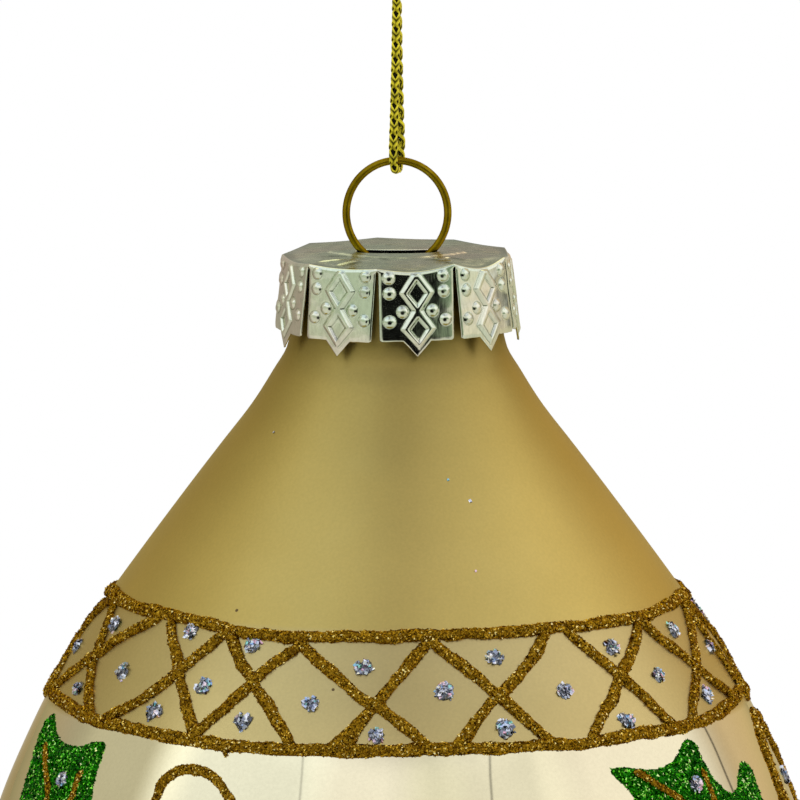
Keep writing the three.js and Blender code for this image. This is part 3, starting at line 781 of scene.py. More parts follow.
# ---------------------------------------------------------------- glass body
PROFILE = np.array([
    [0.7, 11.0], [7.4, 11.0], [9.65, 11.4], [12.4, 12.94], [15.7, 14.99], [19.9, 18.19], [24.2, 21.45], [33.7, 28.43],
    [36.9, 30.7], [41.06, 33.43], [45.18, 35.82], [49.5, 37.98], [57.65, 41.43], [64.0, 43.35], [71.0, 44.85],
    [78.0, 45.55], [84.5, 45.5], [91.0, 44.45], [97.5, 42.4], [104.5, 39.0], [111.5, 34.5], [117.0, 30.3],
    [123.0, 25.5], [131.0, 19.2], [139.0, 13.7], [147.0, 9.1], [155.0, 5.5], [161.5, 3.2]])


def pchip(x, y, xi):
    h, d = np.diff(x), np.diff(y) / np.diff(x)
    m = np.zeros_like(y)
    m[0], m[-1] = d[0], d[-1]
    for i in range(1, len(x) - 1):
        if d[i - 1] * d[i] > 0:
            w1, w2 = 2 * h[i] + h[i - 1], h[i] + 2 * h[i - 1]
            m[i] = (w1 + w2) / (w1 / d[i - 1] + w2 / d[i])
    k = np.clip(np.searchsorted(x, xi) - 1, 0, len(h) - 1)
    t = (xi - x[k]) / h[k]
    return ((2 * t ** 3 - 3 * t ** 2 + 1) * y[k] + (t ** 3 - 2 * t ** 2 + t) * h[k] * m[k]
            + (-2 * t ** 3 + 3 * t ** 2) * y[k + 1] + (t ** 3 - t ** 2) * h[k] * m[k + 1])


_d1 = np.linspace(0.7, 161.5, 1700)
_r1 = pchip(PROFILE[:, 0], PROFILE[:, 1], _d1)
for _ in range(40):                                  # ease the pieces of the outline into each other
    _r1[120:-1] = 0.25 * _r1[119:-2] + 0.5 * _r1[120:-1] + 0.25 * np.append(_r1[121:-1], _r1[-1])
_t = np.sin(np.linspace(0, math.pi / 2, 60))[1:]
_d2 = 161.5 + 5.1 * _t
_r2 = 3.2 * np.clip(1 - _t ** 1.6, 0, 1) ** 0.6
DD, RR = np.concatenate([_d1, _d2]), np.concatenate([_r1, _r2])
SS = np.gradient(RR, DD)
MER = np.concatenate([[0], np.cumsum(np.hypot(np.diff(DD), np.diff(RR)))])


def on_body(th, d, lift=0.0):
    th = np.asarray(th, float) * DEG
    r, s = np.interp(d, DD, RR), np.interp(d, DD, SS)
    k = np.sqrt(1 + s * s)
    rr, z = r + lift / k, -d + lift * s / k
    return np.stack([rr * np.sin(th), -rr * np.cos(th), z + PLATE], -1)


def make_glass():
    depths = [0.7]
    while depths[-1] < 161.0:
        depths.append(depths[-1] + (0.62 if depths[-1] > 8 else 0.8))
    depths = np.array(depths[:-1] + list(_d2[np.linspace(0, len(_d2) - 1, 20).astype(int)]))
    radii = np.interp(depths, DD, RR)
    seg = 256
    a = np.arange(seg) / seg * 2 * math.pi
    lip = [[0.62, 10.55], [0.60, 10.75], [0.62, 10.93]]
    outer = np.vstack([lip, np.stack([depths, radii], 1)])
    inner_d = np.concatenate([np.linspace(156.4, 20, 46), np.linspace(17, 0.8, 14)])
    inner_r = np.maximum(np.interp(inner_d, DD, RR) - 0.9 * np.hypot(1, np.interp(inner_d, DD, SS)), 0.25)
    inner_r[-6:] = np.minimum(inner_r[-6:], 10.1)
    inner = np.stack([inner_d, inner_r], 1)
    prof = np.vstack([outer[:-1]])
    pts = lambda p: np.stack([np.outer(p[:, 1], np.sin(a)), np.outer(p[:, 1], -np.cos(a)),
                              np.repeat(-p[:, :1] + PLATE, seg, 1)], -1).reshape(-1, 3)
    vo, vi = pts(prof), pts(inner)
    no, ni = len(prof), len(inner)
    V = np.vstack([vo, vi, [[0, 0, PLATE - 166.6], [0, 0, PLATE - 156.6]]])
    qo = tube_faces(no, seg, False)[0]
    qi = tube_faces(ni, seg, False)[0] + no * seg
    j = np.arange(seg)
    k = (j + 1) % seg
    join = np.stack([no * seg + (ni - 1) * seg + j, no * seg + (ni - 1) * seg + k, k, j], -1)
    tip = np.stack([(no - 1) * seg + j, (no - 1) * seg + k, np.full(seg, len(V) - 2)], -1)
    hole = np.stack([no * seg + k, no * seg + j, np.full(seg, len(V) - 1)], -1)
    return build("glass_drop", [(V, [(qo, 0, True), (qi, 1, True), (join, 0, True), (tip, 0, True), (hole, 1, True)])],
                 [M["glass"], M["inside"]])


glass = make_glass()
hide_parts("glass_body")
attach(glass, "ornament")

# ---------------------------------------------------- glitter lines and dots
d_of = lambda m: np.interp(m, MER, DD)
m_of = lambda d: np.interp(d, DD, MER)


class Line:
    """A raised line of glue along [angle, depth] points on the glass."""

    def __init__(self, points, width, height, seed, taper=True):
        self.rng = rng = np.random.default_rng(seed)
        p = np.asarray(points, float)
        radius = np.interp(p[:, 1].mean(), DD, RR)
        flat = np.stack([p[:, 0] * DEG * radius, m_of(p[:, 1])], 1)
        if len(flat) == 2:
            flat = np.vstack([flat[0], flat.mean(0), flat[1]])
        q, self.length = catmull(flat, 0.25)
        self.s = np.linspace(0, self.length, len(q))
        self.th = q[:, 0] / DEG / radius
        self.m = q[:, 1]
        rr = np.interp(d_of(self.m), DD, RR)
        dx, dy = np.gradient(self.th * DEG) * rr, np.gradient(self.m)
        k = np.hypot(dx, dy)
        self.nx, self.ny = dy / k, -dx / k
        self.w = width * (1 + 0.13 * line_noise(self.s, 1.7, rng) + 0.07 * line_noise(self.s, 0.55, rng))
        self.h = height * (1 + 0.18 * line_noise(self.s, 1.3, rng))
        self.o = 0.09 * line_noise(self.s, 2.1, rng) + 0.05 * line_noise(self.s, 0.6, rng)
        if taper:
            e = np.minimum(self.s, self.length - self.s) / (width * 0.5)
            e = np.sqrt(np.clip(1 - (1 - np.clip(e, 0, 1)) ** 2, 0, 1))
            self.w, self.h = self.w * (0.25 + 0.75 * e), self.h * (0.15 + 0.85 * e)
        self.seed = seed

    def at(self, s, phi, lift=0.0):
        f = lambda a: np.interp(s, self.s, a)
        th, m = f(self.th), f(self.m)
        r = np.maximum(np.interp(d_of(m), DD, RR), 1.0)
        w = f(self.w) / 2 * np.cos(phi) + f(self.o)
        h = f(self.h) * np.abs(np.sin(phi)) ** 0.8
        lump = 0.055 * lattice_noise(s + 40, w * 1.3 + 20, self.seed + 5, 0.34) * np.sin(phi)
        return on_body(th + w * f(self.nx) / r / DEG, d_of(m + w * f(self.ny)), h + lump - 0.06 + lift)

    def mesh(self, slot=0):
        k = 9
        phi = np.linspace(0, math.pi, k)
        pts = self.at(np.repeat(self.s, k), np.tile(phi, len(self.s)))
        quads, tris = tube_faces(len(self.s), k)
        return pts, [(quads, slot, True), (tris, slot, True)]

    def spots(self, density):
        n = int(density * self.length * self.w.mean() * 1.25)
        s, phi = self.rng.uniform(0, self.length, n), self.rng.uniform(0.06, 0.94, n) * math.pi
        p = self.at(s, phi)
        n_ = np.cross(self.at(s, phi + 0.05) - p, self.at(s + 0.05, phi) - p)
        n_ = unit(n_)
        out = unit(p * [1, 1, 0])
        n_[np.sum(n_ * out, 1) < 0] *= -1
        return p, n_


def flakes(p, n, size, rng, slot, tilt=0.85, corners=3, thick=0.28):
    """Small closed chips lying on a surface at random slants."""
    count = len(p)
    n = unit(n + tilt * rng.normal(size=(count, 3)) * 0.6)
    t = unit(np.cross(n, rng.normal(size=(count, 3))))
    b = np.cross(n, t)
    rad = size * rng.uniform(0.65, 1.25, count)
    a0 = rng.uniform(0, 2 * math.pi, count)
    ring = []
    for k in range(corners):
        a = a0 + 2 * math.pi * (k + rng.uniform(-0.18, 0.18, count)) / corners
        ring.append(p + rad[:, None] * (np.cos(a)[:, None] * t + np.sin(a)[:, None] * b) + 0.012 * n)
    tip = p + n * (rad * thick)[:, None] + rad[:, None] * 0.25 * t
    v = np.stack(ring + [tip], 1).reshape(-1, 3)
    base = np.arange(count)[:, None] * (corners + 1)
    tris = np.concatenate([base + np.array([[k, (k + 1) % corners, corners]]) for k in range(corners)])
    under = base + np.array([list(range(corners - 1, -1, -1))])
    return v, [(tris, slot, False), (under, slot, False)]


def lines_piece(name, lines, mats, density=19, size=0.17):
    parts, ps, ns = [], [], []
    for line in lines:
        parts.append(line.mesh())
        p, n = line.spots(density)
        ps.append(p)
        ns.append(n)
    rng = np.random.default_rng(len(lines) + 77)
    parts.append(flakes(np.vstack(ps), np.vstack(ns), size, rng, 1))
    return build(name, parts, mats)


UPPER = [
    [(-79.5, 35.4), (-85.0, 36.8), (-89.5, 38.6), (-91.0, 40.5), (-89.5, 43.2), (-86.5, 45.7)],
    [(-77.5, 35.6), (-71.8, 39.2), (-70.0, 41.1), (-67.0, 42.9), (-63.7, 44.7), (-60.2, 46.4)],
    [(-87.5, 45.9), (-83.0, 44.9), (-74.0, 41.8), (-68.6, 40.1), (-64.0, 38.3), (-59.0, 36.9), (-54.8, 35.6)],
    [(-51.0, 35.8), (-48.0, 37.7), (-44.2, 39.5), (-41.7, 41.3), (-39.2, 43.1), (-37.1, 44.5), (-34.8, 46.8)],
    [(-57.2, 46.3), (-53.4, 45.1), (-49.4, 43.7), (-46.0, 42.1), (-42.2, 39.8), (-39.8, 38.5), (-37.3, 37.2), (-34.8, 35.8)],
    [(-34.8, 36.2), (-32.0, 37.9), (-29.3, 39.3), (-26.6, 40.7), (-23.1, 42.5), (-20.3, 44.4), (-17.2, 46.8)],
    [(-35.4, 46.8), (-33.6, 45.1), (-31.4, 43.9), (-28.5, 42.0), (-26.6, 40.6), (-24.0, 39.1), (-21.5, 38.1), (-17.8, 36.5)],
    [(-19.5, 36.4), (-14.5, 38.5), (-10.3, 40.1), (-6.3, 41.8), (-2.9, 42.8), (-0.4, 43.8), (2.2, 44.9), (5.4, 46.9)],
    [(-8.8, 46.9), (-5.6, 43.7), (-2.1, 41.3), (0.5, 39.6), (3.2, 37.9), (6.5, 36.2)],
    [(-11.2, 47.0), (-7.6, 44.9), (-4.6, 43.0)], [(-9.6, 46.9), (-6.8, 45.4)],
    [(6.3, 36.2), (10.0, 37.8), (15.1, 40.1), (17.5, 41.4), (19.8, 42.7), (23.5, 44.9), (26.2, 46.8)],
    [(9.2, 46.8), (11.9, 45.1), (14.2, 43.7), (16.6, 42.3), (20.9, 40.6), (26.4, 38.3), (31.0, 35.9)],
    [(35.2, 35.8), (39.4, 38.3), (41.9, 39.7), (44.3, 41.2), (47.2, 43.0), (49.3, 44.6), (52.0, 46.5)],
    [(56.4, 35.8), (52.4, 37.6), (47.6, 39.5), (43.0, 41.3), (39.6, 43.1), (36.3, 44.7), (33.0, 46.8)],
    [(56.0, 35.9), (59.5, 38.1), (63.4, 39.8), (67.1, 41.8), (70.4, 43.3), (76.4, 45.6)],
    [(80.6, 35.6), (76.2, 37.7), (72.6, 39.1), (64.2, 42.6), (60.2, 44.3), (56.8, 46.3)],
    [(80.8, 35.6), (81.6, 39.9), (83.0, 43.3), (85.5, 46.0)],
]
for a, b in [[84, 104], [103, 86], [105, 128], [129, 107], [130, 155], [153, 131], [155, 176], [178, 156.5],
             [179, 203], [201, 181], [203, 224], [226, 205], [228, 250], [249, 229], [251, 269], [271, 253]]:
    jig = np.random.default_rng(int(a * 10)).uniform(-0.6, 0.6, 2)
    UPPER.append([(a, 36.3), ((a + b) / 2 + jig[0], 41.5 + 0.4 * jig[1]), (b, 46.7)])
TOPS = [-84, -59, -36, -13, 12, 36, 59, 84, 108, 131, 156, 181, 204, 228, 252]
LOWER = []
for i, a in enumerate(TOPS):
    b = TOPS[i + 1] if i + 1 < len(TOPS) else TOPS[0] + 360
    LOWER += [[(a + 0.5, 112.1), ((a + b) / 2, 116.4), (b - 0.5, 120.7)], [(b - 0.5, 112.1), ((a + b) / 2, 116.5), (a + 0.5, 120.7)]]


RING_1 = [(-86, 35.2), (-75, 35.3), (-63, 35.4), (-55, 35.4), (-49, 35.5), (-43, 35.6), (-37.5, 35.8), (-32, 36.1), (-28, 36.2),
          (-19, 36.2), (-11, 36.0), (-3, 36.0), (4.5, 35.8), (12.6, 35.8), (21, 35.8), (30, 35.7), (39, 35.8), (50, 35.8), (57, 35.9),
          (65, 35.7), (72, 35.6), (83, 35.4)]
RING_2 = [(-88, 45.6), (-82, 45.8), (-74, 45.9), (-64, 46.4), (-57, 46.5), (-51, 46.6), (-46, 46.6), (-42, 46.8), (-33.6, 47.0),
          (-26, 47.2), (-16, 47.1), (-3, 47.1), (4, 46.9), (10, 46.9), (17, 47.0), (24, 47.0), (31, 47.1), (35, 47.0), (43, 46.8),
          (53, 46.8), (59, 46.7), (66, 46.4), (74.5, 45.9), (84, 45.5)]


def ring_line(depth, wobble, width, seed, seen=()):
    """A line right round the glass. seen gives its depth at some angles; elsewhere it wanders about depth."""
    rng = np.random.default_rng(seed)
    lo, hi = (seen[0][0], seen[-1][0]) if seen else (0.0, 0.0)
    rest = np.arange(hi + 12, lo + 360 - 6, 8.0)
    pts = list(seen) + [(float(a), float(depth + wobble * w)) for a, w in zip(rest, line_noise(np.arange(len(rest)), 2.2, rng))]
    pts.append((lo + 360, seen[0][1] if seen else pts[0][1]))
    if not seen:
        pts = [(0.0, pts[0][1])] + pts
    return Line(pts, width, 0.52, seed)


upper = [Line(p, 1.28, 0.50, 100 + i) for i, p in enumerate(UPPER)]
upper += [ring_line(35.9, 0.28, 1.36, 201, RING_1), ring_line(46.4, 0.25, 1.38, 202, [(a, d - 0.24) for a, d in RING_2])]
upper.append(Line([(-28.6, 47.0), (-28.4, 48.1)], 0.50, 0.30, 203))
o = lines_piece("glitter_lattice_top", upper, [M["gold_bed"], M["gold_flake"]])
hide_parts("glitter_lattice_upper")
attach(o, "ornament")
lower = [Line(p, 1.08, 0.48, 300 + i) for i, p in enumerate(LOWER)]
lower += [ring_line(111.9, 0.25, 1.35, 401), ring_line(120.9, 0.22, 1.2, 402)]
o = lines_piece("glitter_lattice_base", lower, [M["gold_bed"], M["gold_flake"]])
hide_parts("glitter_lattice_lower")
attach(o, "ornament")


def dots_piece(name, places, seed, size=0.93, loose=()):
    """Small heaps of hologram flakes in clear glue, and a few flakes that fell beside them."""
    rng = np.random.default_rng(seed)
    parts, ps, ns = [], [], []
    for th, d in places:
        r = np.interp(d, DD, RR)
        rad = size * rng.uniform(0.86, 1.1)
        rings, sides = 6, 18
        a = np.arange(sides) / sides * 2 * math.pi
        wob = 1 + 0.14 * np.sin(2 * a + rng.uniform(0, 6)) + 0.10 * np.sin(3 * a + rng.uniform(0, 6)) + 0.05 * rng.uniform(-1, 1, sides)
        rows = []
        for i in range(rings):
            q = 1 - i / rings
            x, y = rad * q * wob * np.cos(a), rad * q * wob * np.sin(a)
            lift = 0.34 * np.sqrt(np.clip(1 - q * q, 0, 1)) - 0.06 + 0.03 * rng.uniform(-1, 1, sides) * (i > 0)
            rows.append(on_body(th + x / r / DEG, d_of(m_of(d) + y), lift))
        v = np.vstack(rows + [on_body(np.array([th]), np.array([d]), 0.29)])
        quads = tube_faces(rings, sides, False)[0]
        j = np.arange(sides)
        top = np.stack([(rings - 1) * sides + j, (rings - 1) * sides + (j + 1) % sides, np.full(sides, rings * sides)], -1)
        bottom = np.stack([np.zeros(sides - 2, int), j[2:], j[1:-1]], -1)
        parts.append((v, [(quads, 0, True), (top, 0, True), (bottom, 0, True)]))
        n = int(34 * size * size)
        q, b = np.sqrt(rng.uniform(0, 1.1, n)), rng.uniform(0, 2 * math.pi, n)
        x, y = rad * q * np.cos(b), rad * q * np.sin(b)
        lift = 0.32 * np.sqrt(np.clip(1 - q * q, 0, 1)) + 0.02
        p = on_body(th + x / r / DEG, d_of(m_of(d) + y), lift)
        nrm = unit(on_body(th + x / r / DEG, d_of(m_of(d) + y), lift + 1.0) - p)
        ps.append(p)
        ns.append(nrm)
    parts.append(flakes(np.vstack(ps), np.vstack(ns), 0.27, rng, 1, tilt=0.8, corners=4, thick=0.2))
    if len(loose):
        th, d = np.array(loose, float).T
        p = on_body(th, d, 0.03)
        parts.append(flakes(p, unit(on_body(th, d, 1.0) - p), 0.25, rng, 1, tilt=0.3, corners=4, thick=0.25))
    return build(name, parts, [M["silver_bed"], M["silver_flake"]])


front_dots = [(-70.3, 37.5), (-84.6, 40.9), (-57.8, 41.4), (-70.3, 44.0), (-44.5, 36.5), (-28.7, 37.2), (-36.5, 41.5), (-45.1, 44.5), (-26.7, 44.5), 
              (-15.1, 42.5), (-6.1, 38.9), (-3.5, 45.4), (18.7, 38.1), (8.4, 41.2), (18.2, 45.0), (30.7, 41.6), (44.8, 38.2), (41.6, 45.1), 
              (53.5, 41.4), (66.2, 37.8), (78.9, 40.5), (65.4, 44.2), (92.3, 37.2)]
back_dots = []
for c in (92.5, 117, 142, 167, 191, 214, 239, 261):
    back_dots += [(c, 38.6), (c + 0.5, 44.3)]
for c in (104.5, 129.5, 154, 178.5, 202.5, 227, 250):
    back_dots.append((c, 41.4))
lower_dots = []
for i, a in enumerate(TOPS):
    b = TOPS[i + 1] if i + 1 < len(TOPS) else TOPS[0] + 360
    lower_dots += [((a + b) / 2, 113.9), ((a + b) / 2, 118.9), (a, 116.4)]
strays = [(16.0, 21.2), (21.4, 23.3), (18.5, 29.9), (59.2, 45.3), (-52.0, 17.4), (104.0, 24.0), (131.0, 30.5), (168.0, 19.0),
          (173.5, 33.2), (214.0, 27.6), (239.0, 14.8), (251.0, 31.9)]
o = dots_piece("silver_dots_top", front_dots + back_dots, 31, loose=strays)
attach(o, "ornament")
o = dots_piece("silver_dots_base", lower_dots, 32, 0.75)
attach(o, "ornament")

# --------------------------------------------------------- holly and scrolls
# each leaf is an outline in mm, x around the glass to the right and y down it, about a point where its veins meet


def local(th0, d0, th, d):
    """[angle, depth] to x, y in mm about a point."""
    return ((th - th0) * DEG * np.interp(d, DD, RR), m_of(d) - m_of(d0))


def place(th0, d0, x, y):
    d = d_of(m_of(d0) + np.asarray(y, float))
    return th0 + np.asarray(x, float) / np.interp(d, DD, RR) / DEG, d


def leaf_part(th0, d0, outline, seed, top=0.46):
    rng = np.random.default_rng(seed)
    ring, _ = catmull(list(outline) + [outline[0]], 0.33)
    ring = ring[:-1] + rng.uniform(-0.05, 0.05, (len(ring) - 1, 2))
    lo, hi = ring.min(0), ring.max(0)
    g = 0.46
    xs, ys = np.meshgrid(np.arange(lo[0], hi[0], g), np.arange(lo[1], hi[1], g * 0.87))
    xs = xs + (np.arange(xs.shape[0]) % 2)[:, None] * g / 2
    grid = np.stack([xs.ravel(), ys.ravel()], 1) + rng.uniform(-0.08, 0.08, (xs.size, 2))

    def edge_distance(p):
        a, b = ring, np.roll(ring, -1, 0)
        ab = b - a
        t = np.clip(((p[:, None] - a) * ab).sum(2) / (ab * ab).sum(1), 0, 1)
        return np.linalg.norm(p[:, None] - (a + t[..., None] * ab), axis=2).min(1)

    def inside(p):
        a, b = ring, np.roll(ring, -1, 0)
        up_ = (a[:, 1] <= p[:, None, 1]) != (b[:, 1] <= p[:, None, 1])
        with np.errstate(divide="ignore", invalid="ignore"):
            x = a[:, 0] + (p[:, None, 1] - a[:, 1]) / (b[:, 1] - a[:, 1]) * (b[:, 0] - a[:, 0])
        return ((up_ & (p[:, None, 0] < x)).sum(1) % 2) == 1

    grid = grid[inside(grid)]
    grid = grid[edge_distance(grid) > 0.2]
    pts = np.vstack([ring, grid])
    n = len(ring)
    res = geometry.delaunay_2d_cdt([Vector(p) for p in pts], [(i, (i + 1) % n) for i in range(n)], [list(range(n))], 1, 1e-5)
    v2 = np.array([[p.x, p.y] for p in res[0]])
    tris = np.array([f for f in res[2] if len(f) == 3])
    dist = edge_distance(v2)
    lift = top * (1 - np.exp(-dist / 0.28)) + 0.06 * lattice_noise(v2[:, 0] + 40, v2[:, 1] + 40, seed, 0.8) * (dist > 0.1) - 0.02
    a, b, c = (v2[tris[:, k]] for k in range(3))
    flip = (b[:, 0] - a[:, 0]) * (c[:, 1] - a[:, 1]) - (b[:, 1] - a[:, 1]) * (c[:, 0] - a[:, 0]) > 0
    tris[flip] = tris[flip][:, ::-1]
    th, d = place(th0, d0, v2[:, 0], v2[:, 1])
    topv, botv = on_body(th, d, lift), on_body(th, d, -0.14)
    edges = {}
    for t in tris:
        for x, y in ((t[0], t[1]), (t[1], t[2]), (t[2], t[0])):
            edges[(x, y)] = True
    rim = np.array([(x, y) for x, y in edges if (y, x) not in edges])
    k = len(v2)
    side = np.stack([rim[:, 1], rim[:, 0], rim[:, 0] + k, rim[:, 1] + k], -1)
    part = (np.vstack([topv, botv]), [(tris, 0, True), (tris[:, ::-1] + k, 0, True), (side, 0, True)])
    area = 0.5 * np.abs((b[:, 0] - a[:, 0]) * (c[:, 1] - a[:, 1]) - (b[:, 1] - a[:, 1]) * (c[:, 0] - a[:, 0]))
    count = int(area.sum() * 21)
    pick = rng.choice(len(tris), count, p=area / area.sum())
    w = rng.dirichlet((1, 1, 1), count)
    p = (topv[tris[pick]] * w[..., None]).sum(1)
    nrm = unit(np.cross(topv[tris[pick, 1]] - topv[tris[pick, 0]], topv[tris[pick, 2]] - topv[tris[pick, 0]]))
    nrm[(nrm * (p * [1, 1, 0])).sum(1) < 0] *= -1
    return part, p, nrm


def lobes(points, dip=0.62):
    """An outline with sharp points and hollow sides between them, as holly has. points are the tips, in order."""
    out = []
    for i, a in enumerate(points):
        b = points[(i + 1) % len(points)]
        a, b = np.array(a, float), np.array(b, float)
        mid = (a + b) / 2 * dip
        out.append(tuple(a))
        for t in (0.12, 0.3, 0.5, 0.7, 0.88):
            w = math.sin(math.pi * t) ** 0.75
            q = (a * (1 - t) + b * t) * (1 - w) + mid * w + (a * (1 - t) + b * t - (a + b) / 2) * w * 0.72
            out.append(tuple(q))
    return out


def tip_line(*px):
    return list(px)


# the front-left leaf, from its visible outline; below the picture it is a guess
LEFT = (-61.5, 61.5)
LEFT_TIPS = [(-75.9, 46.8), (-53.9, 48.2), (-43.5, 60.5), (-51.0, 72.0), (-61.5, 78.5), (-74.0, 72.0), (-80.5, 61.0)]
LEFT_VEINS = [[(-71.2, 49.9), (-66.8, 52.1), (-62.5, 54.9), (-60.6, 60.5)], [(-56.5, 51.2), (-56.4, 52.8), (-56.6, 54.6), (-59.6, 60.4)],
              [(-48.0, 60.5), (-54.0, 61.0), (-60.0, 62.0)], [(-77.0, 61.2), (-70.0, 61.6), (-62.2, 62.6)],
              [(-54.0, 70.0), (-57.0, 66.8), (-60.6, 63.2)], [(-71.0, 70.2), (-66.5, 67.2), (-62.0, 63.6)]]
LEFT_DOTS = [(-60.6, 52.6), (-62.0, 70.8)]
# the front-right leaf
RIGHT = (56.5, 60.5)
RIGHT_TIPS = [(35.2, 49.5), (53.8, 47.9), (67.6, 51.2), (72.0, 60.8), (66.0, 71.5), (54.5, 77.5), (44.0, 70.0), (37.0, 61.0)]
RIGHT_VEINS = [[(39.3, 50.1), (41.9, 51.1), (44.3, 52.3), (47.0, 53.5), (54.8, 60.0)], [(53.9, 50.9), (54.1, 52.4), (54.3, 54.4), (56.0, 60.6)],
               [(66.4, 56.2), (62.4, 58.4), (57.4, 61.4)], [(69.5, 61.2), (63.5, 61.8), (57.4, 62.4)],
               [(41.5, 61.8), (48.5, 62.2), (55.8, 62.6)], [(63.5, 69.2), (60.0, 66.6), (57.0, 63.0)],
               [(48.5, 68.6), (52.6, 66.0), (56.2, 63.0)]]
RIGHT_DOTS = [(51.3, 52.3), (55.4, 69.6)]


def to_local(centre, points):
    return [tuple(float(v) for v in local(*centre, th, d)) for th, d in points]


def outline_left():
    p = to_local(LEFT, LEFT_TIPS)
    a, b = np.array(p[0]), np.array(p[1])
    seen = [p[0]] + to_local(LEFT, [(-73.5, 47.6), (-71.0, 48.4), (-66.5, 49.1), (-62.9, 49.2), (-59.5, 48.9), (-56.7, 48.3)])
    seen += [p[1]] + to_local(LEFT, [(-53.5, 50.1), (-53.1, 52.3), (-52.1, 54.0), (-49.2, 57.0)])
    rest = lobes(p[1:])                      # from the second tip round to the last
    k = 6 * (len(p) - 2)
    tail = rest[6:k] + [p[-1]]
    close = to_local(LEFT, [(-77.2, 59.4), (-74.2, 57.4), (-73.4, 55.2), (-75.0, 52.4), (-76.8, 49.9), (-77.1, 48.4)])
    return seen + tail + close


def outline_right():
    p = to_local(RIGHT, RIGHT_TIPS)
    seen = [p[0]] + to_local(RIGHT, [(37.8, 49.5), (40.4, 49.8), (44.7, 50.1), (48.1, 49.7), (50.4, 49.0), (52.2, 48.2)])
    seen += to_local(RIGHT, [(53.8, 47.8), (55.6, 48.5), (55.8, 49.8), (56.3, 51.3), (58.0, 52.8), (60.3, 53.8), (62.8, 53.3), (64.9, 52.0)])
    seen += [p[2]] + to_local(RIGHT, [(69.2, 52.0), (68.9, 53.4), (68.9, 55.2), (69.8, 58.0)])
    rest = lobes(p[2:])
    k = 6 * (len(p) - 3)
    tail = rest[6:k] + [p[-1]]
    close = to_local(RIGHT, [(39.6, 58.2), (40.3, 55.6), (38.7, 53.1), (37.5, 51.5), (35.9, 50.5)])
    return seen + tail + close


def spin(points, by, drop=0.0):
    return [(th + by, d + drop) for th, d in points]


def sprig(name, centre, outline, veins, dots, by, seed):
    parts, p, n = [], [], []
    part, ps, ns = leaf_part(centre[0] + by, centre[1], outline, seed)
    rng = np.random.default_rng(seed + 1)
    chips = flakes(ps, ns, 0.19, rng, 1, tilt=0.95)
    o = build(name, [part, chips], [M["green_bed"], M["green_flake"]])
    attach(o, "ornament")
    return [spin(v, by) for v in veins], spin(dots, by)


veins, leaf_dots = [], []
for name, which, by, seed in (("holly_leaf_left", 0, 0, 41), ("holly_leaf_right", 1, 0, 42),
                              ("holly_leaf_back", 0, 224, 43)):
    if which == 0:
        v, dd = sprig(name, LEFT, outline_left(), LEFT_VEINS, LEFT_DOTS, by, seed)
    else:
        v, dd = sprig(name, RIGHT, outline_right(), RIGHT_VEINS, RIGHT_DOTS, by, seed)
    veins += v
    leaf_dots += dd


class Raised(Line):
    """A line that lies on a leaf instead of on the bare glass."""

    def at(self, s, phi, lift=0.0):
        return super().at(s, phi, lift + 0.40)


def curl(th0, d0, r0, a0, a1, shrink, count=26):
    """A spiral about a point on the glass, in mm."""
    pts = []
    for i in range(count):
        t = i / (count - 1)
        a, r = (a0 + (a1 - a0) * t) * DEG, r0 * (1 - shrink * t)
        th, d = place(th0, d0, r * math.cos(a), r * math.sin(a))
        pts.append((float(th), float(d)))
    return pts


scroll_lines = [Raised(v, 0.85, 0.34, 500 + i) for i, v in enumerate(veins)]
SCROLL_A = [(-39.9, 54.6), (-39.2, 52.7), (-38.7, 51.2), (-37.0, 50.1), (-34.1, 49.5), (-31.0, 49.8), (-28.5, 50.6), (-26.1, 52.1),
            (-23.6, 54.4), (-21.6, 58.0), (-21.0, 62.0), (-24.5, 66.0), (-31.0, 67.5), (-36.5, 64.5), (-36.5, 60.5), (-32.0, 58.5),
            (-28.6, 60.6), (-30.4, 63.0)]
SCROLL_B = [(-20.8, 59.5), (-13.0, 66.0), (-3.0, 69.8), (8.0, 68.5), (17.0, 63.5), (24.0, 57.5), (28.5, 54.5), (30.5, 57.5), (27.0, 60.0)]
SCROLL_C = [(86.6, 47.6), (83.0, 49.0), (80.6, 51.0), (79.6, 53.4), (79.2, 56.6), (80.0, 60.6), (83.5, 63.6), (88.5, 63.2),
            (91.0, 60.2), (88.8, 58.2), (86.4, 59.6)]
SCROLL_D = [(87.0, 47.9), (90.0, 49.4), (92.4, 52.0), (94.5, 56.0), (97.5, 62.0), (102.5, 67.0), (109.0, 68.5), (115.0, 65.0), (118.0, 60.0),
            (121.0, 55.0), (126.0, 54.0), (126.5, 57.0)]
SCROLL_E = [(-39.0, 70.0), (-28.0, 76.0), (-14.0, 78.0), (2.0, 75.5), (14.0, 76.5), (26.0, 80.0), (34.0, 77.0)]
number = 600
for by in (0, 222):
    for pts in (SCROLL_A, SCROLL_B):
        scroll_lines.append(Line(spin(pts, by), 1.08, 0.42, number))
        number += 1
for pts in (SCROLL_C, SCROLL_D):
    scroll_lines.append(Line(pts, 1.45, 0.46, number))
    number += 1
for by in (0, 121, 243):
    scroll_lines.append(Line(spin(SCROLL_E, by), 1.0, 0.42, number))
    number += 1
    # the lower garland: a curl each side of a drop, over the lower lattice
    for side in (-1, 1):
        th0 = -8 + by + side * 17
        c = curl(th0, 93.5, 5.6, 90 - side * 90, 90 - side * 90 + side * 430, 0.72)
        tail_ = [(-8 + by + side * 1.5, 101.5), (-8 + by + side * 7.0, 99.5)]
        scroll_lines.append(Line(c, 1.0, 0.42, number))
        number += 1
o = lines_piece("gold_scrolls", scroll_lines, [M["gold_bed"], M["gold_flake"]])
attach(o, "ornament")


def raised_dots(name, places, seed):
    return dots_piece(name, places, seed, 0.95)


